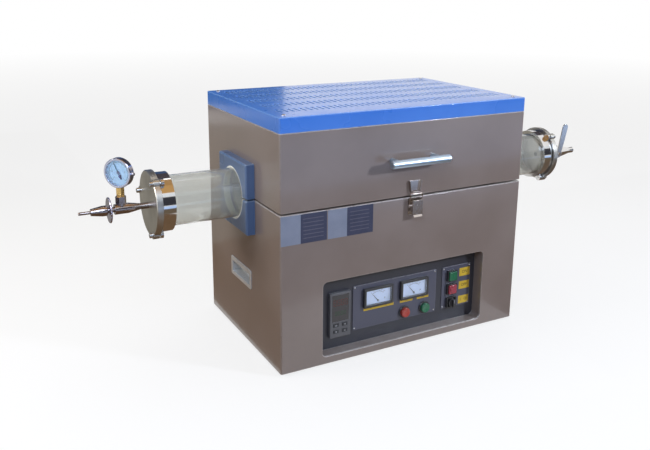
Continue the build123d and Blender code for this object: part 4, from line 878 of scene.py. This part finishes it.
def dial_card_paint(name, light, deep):
    """Printed card behind glass: faint paper tooth and a slow fading."""
    material, tree, skin = new_material(name)
    where = shader(tree, "TexCoord")
    paper = shader(tree, "TexNoise", Scale=1200.0, Detail=2.0)
    fade = shader(tree, "TexNoise", Scale=40.0, Detail=2.0)
    for noise in (paper, fade):
        tree.links.new(where.outputs["Object"], noise.inputs["Vector"])
    tree.links.new(colour_mix(tree, deep, light, fade.outputs[0]), skin.inputs["Base Color"])
    tree.links.new(spread(tree, paper.outputs[0], 0.5, 0.65), skin.inputs["Roughness"])
    bump(tree, skin, paper.outputs[0], 0.1, 0.00005)
    return material


def dial_tick(angle, low, high, width):
    """Outline of one scale mark from a lower to a higher radius."""
    a = math.radians(angle)
    along, side = np.array([math.sin(a), math.cos(a)]), np.array([math.cos(a), -math.sin(a)]) * width / 2
    return np.array([along * low - side, along * low + side, along * high + side,
                     along * high - side])


def lettered(words, size, at, plane, near, far):
    """Points and faces of plain letters about a place on a plane, pressed between two heights."""
    letters = bpy.data.curves.new("letters", "FONT")
    letters.body = words
    letters.size = size
    letters.align_x, letters.align_y = "CENTER", "CENTER"
    letters.extrude = (far - near) / 2
    letters.resolution_u = 2
    holder = bpy.data.objects.new("letters", letters)
    scene.collection.objects.link(holder)
    made = bpy.data.meshes.new_from_object(holder.evaluated_get(bpy.context.evaluated_depsgraph_get()))
    flat = np.empty(len(made.vertices) * 3)
    made.vertices.foreach_get("co", flat)
    flat = flat.reshape(-1, 3)
    origin, right, up = (np.array(v, float) for v in plane)
    out = np.cross(right, up)
    points = (origin + (flat[:, :1] + at[0]) * right + (flat[:, 1:2] + at[1]) * up
              + (flat[:, 2:] + (near + far) / 2) * out)
    faces = [tuple(polygon.vertices) for polygon in made.polygons]
    bpy.data.objects.remove(holder)
    bpy.data.curves.remove(letters)
    bpy.data.meshes.remove(made)
    return points, faces


dial_up, glass_rear, glass_front = 1.7 * mm, 4.3 * mm, 5.5 * mm
gauge_card = dial_card_paint("gauge_card", (0.52, 0.77, 1.0), (0.43, 0.69, 0.98))
scale_teal = moulded("scale_teal", (0.050, 0.190, 0.300), (0.035, 0.140, 0.240), (0.4, 0.5), 2500.0,
                     dust=0.0)
pointer_navy = moulded("pointer_navy", (0.020, 0.030, 0.170), (0.012, 0.020, 0.120), (0.3, 0.4),
                       2500.0, dust=0.0)
disc = arc_band(12.2 * mm, 24.4 * mm, 0, 360, 73)[:72]
piece_from("gauge_dial_card",
           *pressed_shape([disc], gauge_plane, dial_up - 0.03 * mm, dial_up + 0.06 * mm),
           gauge_card, "base",
           slot="dial_card")
marks = [arc_band(20.0 * mm, 0.55 * mm, -135, 135, 60)]
marks += [dial_tick(a, 17.2 * mm, 20.0 * mm, 0.75 * mm) for a in np.arange(-135, 136, 54)]
marks += [dial_tick(a, 18.4 * mm, 20.0 * mm, 0.40 * mm) for a in np.arange(-135, 136, 10.8)]
card_top = dial_up + 0.06 * mm
scale = [pressed_shape(marks, gauge_plane, card_top, card_top + print_t)]
for number, a in zip(("-2", "-1", "0", "1", "2", "3"), np.radians(np.arange(-135, 136, 54))):
    scale.append(lettered(number, 4.6 * mm, (13.6 * mm * math.sin(a), 13.6 * mm * math.cos(a)),
                          gauge_plane, card_top,
                          card_top + print_t))
piece_from("gauge_scale", *joined(scale), scale_teal, "base", slot="pointer_black")

# The pointer stands at zero, left of the top: a slim blade and a broad tail on one hub.
lean = math.radians(27)
leaned = np.array([[math.cos(lean), math.sin(lean)], [-math.sin(lean), math.cos(lean)]])
blade = np.array([(-0.4, 18.5), (-1.0, 0), (1.0, 0), (0.4, 18.5)]) * mm @ leaned
tail = np.array([(1.1, 0), (1.2, -4.6), (3.3, -5.4), (2.3, -9.5), (1.5, -13.5), (-1.5, -13.5),
                 (-2.3, -9.5), (-3.3, -5.4),
                 (-1.2, -4.6), (-1.1, 0)]) * mm @ leaned
hub = arc_band(1.4 * mm, 2.8 * mm, 0, 360, 25)[:24]
needle_low, needle_high = 2.25 * mm, 2.8 * mm
piece_from("gauge_blade", *pressed_shape([blade], gauge_plane, needle_low, needle_high), scale_teal,
           "gauge_pointer",
           "gauge_pointer")
piece_from("gauge_tail", *joined([pressed_shape([tail], gauge_plane, needle_low, needle_high),
                                  pressed_shape([hub], gauge_plane, needle_low,
                                                needle_high + 0.4 * mm)]),
           pointer_navy, "gauge_pointer", slot="pointer_black")


# ==== Outlet valve =================================================================================
# On the right cover: a nipple, a hexagon, a polished ball-valve body drawn out into a hose nozzle,
# and a flat lever on the stem.
eased("ball_valve", 0.4 * mm, polished_steel)
lever_metal = plated("lever_metal", (0.70, 0.70, 0.70), (0.58, 0.58, 0.58), (0.16, 0.30))
eased("valve_lever", 0.6 * mm, lever_metal)


# ==== Control recess ===============================================================================
# A folded tray carries the charcoal panel behind the casing's cut-out, and two grey printed plates
# lie on the panel.
panel_enamel = enamel("panel_enamel", (0.034, 0.035, 0.047), (0.026, 0.027, 0.037),
                      (0.10, 0.10, 0.11),
                      gloss=(0.36, 0.50), dust=0.1, coat=0.05)
fascia_print = enamel("fascia_print", (0.076, 0.080, 0.118), (0.064, 0.068, 0.100),
                      (0.26, 0.26, 0.30),
                      gloss=(0.34, 0.46), dust=0.1, coat=0.1)
eased("control_tray", 0.4 * mm, casing_enamel)
eased("control_panel", 0.3 * mm, panel_enamel)
eased("fascia_plates", 0.3 * mm, fascia_print)


# ==== Controller ===================================================================================
# A process controller in its moulded case, with a dark window and four rubber keys. The digits are
# a thin print on the window, and each key carries a printed sign.
controller_grey = moulded("controller_grey", (0.112, 0.114, 0.124), (0.092, 0.094, 0.104),
                          (0.42, 0.56))
key_grey = moulded("key_grey", (0.040, 0.042, 0.048), (0.028, 0.029, 0.033), (0.5, 0.65))
eased("controller_case", 0.5 * mm, controller_grey)
smoked_window = moulded("smoked_window", (0.022, 0.018, 0.022), (0.012, 0.010, 0.013), (0.08, 0.16),
                        60.0, coat=0.4, dust=0.0)
dull_red = moulded("dull_red", (0.115, 0.020, 0.014), (0.080, 0.014, 0.010), (0.2, 0.3), 900.0,
                   dust=0.0)
dull_green = moulded("dull_green", (0.018, 0.060, 0.026), (0.012, 0.044, 0.018), (0.2, 0.3), 900.0,
                     dust=0.0)
case_low, case_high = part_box("controller_case")
case_x = (case_low.x + case_high.x) / 2
panel_plane = ((0, 0, 0), (1, 0, 0), (0, 0, 1))
window_z, window_face = 108.0 * mm, -case_low.y
piece_from("controller_window",
           *pressed_shape([rectangle(case_x, window_z, 38 * mm, 56 * mm)], panel_plane,
                                               window_face - 1.0 * mm, window_face), smoked_window,
                                               "base", slot="clear_glass")


def seven_bars(x, z, width, height, bar):
    """Outlines of the seven bars of a digit: three lying at its bottom, middle and top, four standing."""
    lying = [rectangle(x, z + k * (height - bar) / 2, width - 2 * bar, bar) for k in (-1, 0, 1)]
    standing = [rectangle(x + a * (width - bar) / 2, z + b * height / 4, bar,
                          height / 2 - 1.4 * bar)
                for a in (-1, 1) for b in (-1, 1)]
    return lying + standing


for name, z, width, height, material in (("upper_digits", 120 * mm, 6.6 * mm, 13 * mm, dull_red),
                                         ("lower_digits", 97 * mm, 5.2 * mm, 9 * mm, dull_green)):
    bars = [bar for k in range(4) for bar in seven_bars(case_x + (k - 1.5) * width * 1.28, z, width,
                                                        height, 1.1 * mm)]
    piece_from(name, *pressed_shape(bars, panel_plane, window_face, window_face + print_t),
               material, "base",
               slot="pointer_black")
key_mark_grey = moulded("key_mark_grey", (0.42, 0.43, 0.45), (0.34, 0.35, 0.37), (0.4, 0.5), 1500.0)
triangle = np.array([(-1.9, -1.2), (1.9, -1.2), (0, 1.9)]) * mm
quarter = np.array([[0.0, 1.0], [-1.0, 0.0]])
signs = (arc_band(1.5 * mm, 0.7 * mm, 0, 359, 24), triangle @ quarter, -triangle, triangle)
for number in range(1, 5):
    eased(f"controller_key_{number}", 0.3 * mm, key_grey)
    low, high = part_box(f"controller_key_{number}")
    middle = np.array([(low.x + high.x) / 2, (low.z + high.z) / 2])
    piece_from(f"key_sign_{number}",
               *pressed_shape([signs[number - 1] + middle], panel_plane, -low.y, -low.y + print_t),
               key_mark_grey, f"controller_key_{number}", slot="key_rubber")


# ==== Panel meters =================================================================================
# Two moving-coil meters: black frames, pale cards, needles and clear fronts. Each card has a
# printed scale with its numbers.
meter_black = moulded("meter_black", (0.030, 0.030, 0.034), (0.018, 0.018, 0.021), (0.28, 0.42),
                      coat=0.15)
dial_card = dial_card_paint("dial_card", (0.68, 0.78, 0.98), (0.58, 0.70, 0.93))
eased("meter_cases", 0.3 * mm, meter_black)
eased("instrument_dials", 0.0, dial_card)
pointer_black = moulded("pointer_black", (0.020, 0.020, 0.022), (0.012, 0.012, 0.013), (0.35, 0.5))
card_up = 154.5 * mm
for node, unit, top_number in (("voltmeter_pointer", "V", 250), ("ammeter_pointer", "A", 50)):
    eased(node, 0.0, pointer_black)
    joint = next(j for j in frame["record"]["behaviour"]["joints"] if j["child"] == node)
    pivot = np.array([joint["pos_m"][0], joint["pos_m"][2]])
    marks = [arc_band(19.6 * mm, 0.35 * mm, -42, 42, 30) + pivot]
    marks += [dial_tick(a, 19.6 * mm, 22.0 * mm, 0.45 * mm) + pivot for a in np.linspace(-40, 40, 6)]
    marks += [dial_tick(a, 19.6 * mm, 21.0 * mm, 0.25 * mm) + pivot for a in np.linspace(-40, 40, 26)]
    scale = [pressed_shape(marks, panel_plane, card_up, card_up + print_t)]
    for step, a in enumerate(np.radians(np.linspace(-40, 40, 6))):
        at = pivot + 24.0 * mm * np.array([math.sin(a), math.cos(a)])
        scale.append(lettered(str(top_number * step // 5), 2.7 * mm, at, panel_plane, card_up,
                              card_up + print_t))
    scale.append(lettered(unit, 6.0 * mm, pivot + np.array([17.0, 2.5]) * mm, panel_plane, card_up,
                          card_up + print_t))
    piece_from(f"{node}_scale", *joined(scale), pointer_black, "base", slot="pointer_black")

clear_pane, tree, skin = new_material("clear_pane")
where = shader(tree, "TexCoord")
haze = shader(tree, "TexNoise", Scale=60.0, Detail=3.0)
tree.links.new(where.outputs["Object"], haze.inputs["Vector"])
tree.links.new(spread(tree, haze.outputs[0], 0.0, 0.04), skin.inputs["Roughness"])
skin.inputs["Base Color"].default_value = (0.97, 0.98, 1.0, 1.0)
skin.inputs["Transmission Weight"].default_value = 1.0
skin.inputs["IOR"].default_value = 1.45
panes = pressed_shape([rectangle(x, 114.5 * mm, 59.6 * mm, 31.6 * mm) for x in (-69.5 * mm, 19.5 * mm)], panel_plane,
                      158.5 * mm, 159.7 * mm)
lens = pressed_shape([arc_band(12.2 * mm, 24.4 * mm, 0, 360, 73)[:72]], gauge_plane, glass_rear,
                     glass_front)
piece_from("instrument_panes", *joined([panes, lens]), clear_pane, "base", "instrument_glass")


# ==== Labels and screws of the panel ===============================================================
# Yellow tape labels under the meters and beside the switches, lettered ON and OFF, and small pan
# screws at the corners of both grey plates.
label_yellow = moulded("label_yellow", (0.66, 0.46, 0.045), (0.56, 0.38, 0.030), (0.34, 0.46),
                       1800.0, coat=0.1, dust=0.05)
fascia_up, tape_t = 153.5 * mm, 0.15 * mm
tapes = [(-51.5, 83, 73, 6), (17, 83, 32, 6), (59, 83, 30, 6), (169, 120.5, 28, 19),
         (169, 90, 28, 18), (169, 56, 28, 18)]
shapes = [rectangle(x * mm + casing_x, z * mm + foot_top, w * mm, h * mm) for x, z, w, h in tapes]
piece_from("yellow_tapes", *pressed_shape(shapes, panel_plane, fascia_up, fascia_up + tape_t),
           label_yellow, "base",
           slot="fascia_print")
words = [("V", 4.6, -70, 83), ("A", 4.6, -34, 83), ("OFF", 4.6, 17, 83), ("ON", 4.6, 59, 83),
         ("ON", 9.5, 169, 120.5), ("OFF", 9.5, 169, 90), ("I   O", 9.5, 169, 56)]
letters = [lettered(word, size * mm, (x * mm + casing_x, z * mm + foot_top), panel_plane,
                    fascia_up + tape_t,
                    fascia_up + tape_t + print_t) for word, size, x, z in words]
piece_from("tape_lettering", *joined(letters), pointer_black, "base", slot="pointer_black")


def domed_head(x, z, radius, rise):
    """Points and faces of a small pan head on the panel: a quarter ellipse turned round the screw."""
    angle = np.radians(np.linspace(0, 90, 5))[:, None]
    turn = np.linspace(0, 2 * np.pi, 12, endpoint=False)[None]
    a, b = radius * np.cos(angle), rise * np.sin(angle)
    points = np.stack([x + a * np.cos(turn), -fascia_up - b + 0 * turn, z + a * np.sin(turn)],
                      -1).reshape(-1, 3)
    faces = grid_faces(5, 12).tolist() + [list(range(12))]
    return points, faces


head_inset, head_r, head_rise = 4.0, 1.7 * mm, 1.0 * mm
heads = []
for x, z, w, h in ((-10.0, 91.0, 206.0, 96.0), (147.0, 91.5, 76.0, 95.0)):
    for i in (-1, 1):
        for j in (-1, 1):
            head_x = (x + i * (w / 2 - head_inset)) * mm + casing_x
            head_z = (z + j * (h / 2 - head_inset)) * mm + foot_top
            heads.append(domed_head(head_x, head_z, head_r, head_rise))
recalculated(piece_from("fascia_screws", *joined(heads), bright_plate, "base", slot="bright_plate"))


# ==== Buttons, switches and selector ===============================================================
# Two round push buttons and three square switches in black housings, with red, green and black
# caps of coloured plastic.
red_cap = moulded("red_cap", (0.420, 0.040, 0.026), (0.330, 0.028, 0.018), (0.22, 0.34), coat=0.3)
green_cap = moulded("green_cap", (0.012, 0.150, 0.070), (0.009, 0.115, 0.052), (0.22, 0.34),
                    coat=0.3)
crimson_cap = moulded("crimson_cap", (0.400, 0.026, 0.060), (0.310, 0.018, 0.042), (0.22, 0.34),
                      coat=0.3)
eased("button_bezels", 0.4 * mm, meter_black)
eased("stop_button", 1.2 * mm, red_cap, 3)
eased("start_button", 1.2 * mm, green_cap, 3)
eased("heat_on_button", 0.5 * mm, green_cap)
eased("heat_off_button", 0.5 * mm, crimson_cap)
eased("selector_knob", 0.5 * mm, meter_black)
low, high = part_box("selector_knob")
mark = rectangle((low.x + high.x) / 2, (low.z + high.z) / 2 + 5.0 * mm, 1.1 * mm, 7.0 * mm)
piece_from("selector_mark",
           *pressed_shape([mark], panel_plane, -low.y - 0.05 * mm, -low.y + print_t), key_mark_grey,
           "selector_knob", slot="dial_card")


# ==== Handles ======================================================================================
# Pressed and plated cups let into the side walls, and a satin aluminium bar on two posts for the
# lid.
cup_plate = plated("cup_plate", (0.66, 0.68, 0.70), (0.56, 0.58, 0.60), (0.26, 0.38),
                   grain_size=300.0, metallic=0.35)
satin_aluminium = plated("satin_aluminium", (0.54, 0.66, 0.78), (0.47, 0.59, 0.71), (0.28, 0.42),
                         grain=(0.04, 1.0, 1.0),
                         grain_size=1400.0)
eased("side_handles", 0.4 * mm, cup_plate)
eased("lid_handle", 0.4 * mm, satin_aluminium)


# ==== Toggle latch =================================================================================
# Nickel-plated pressings and a wire bail. The base and the lever are on the lower casing, and the
# strike is on the lid.
latch_nickel = plated("latch_nickel", (0.58, 0.52, 0.48), (0.47, 0.42, 0.39), (0.16, 0.28),
                      grain_size=420.0, strength=0.10)
for node, radius in (("latch_base", 0.3), ("latch_lever", 0.3), ("latch_bail", 0.0),
                     ("latch_strike", 0.3)):
    eased(node, radius * mm, latch_nickel)


# ==== Hinges, gland and relay ======================================================================
# Two butt hinges at the rear, the mains cable gland, and the relay on its heat sink inside. The
# knuckles interlock on their pins, one third on the lid between two thirds on the casing.
leaf_steel = plated("leaf_steel", (0.56, 0.55, 0.54), (0.44, 0.43, 0.42), (0.24, 0.40),
                    grain=(0.05, 1.0, 1.0))
for node in ("lower_hinge_leaves", "upper_hinge_leaves", "hinge_pins"):
    eased(node, 0.3 * mm, leaf_steel)
eased("cable_gland", 0.5 * mm, meter_black)
eased("power_relay", 0.4 * mm, satin_aluminium)
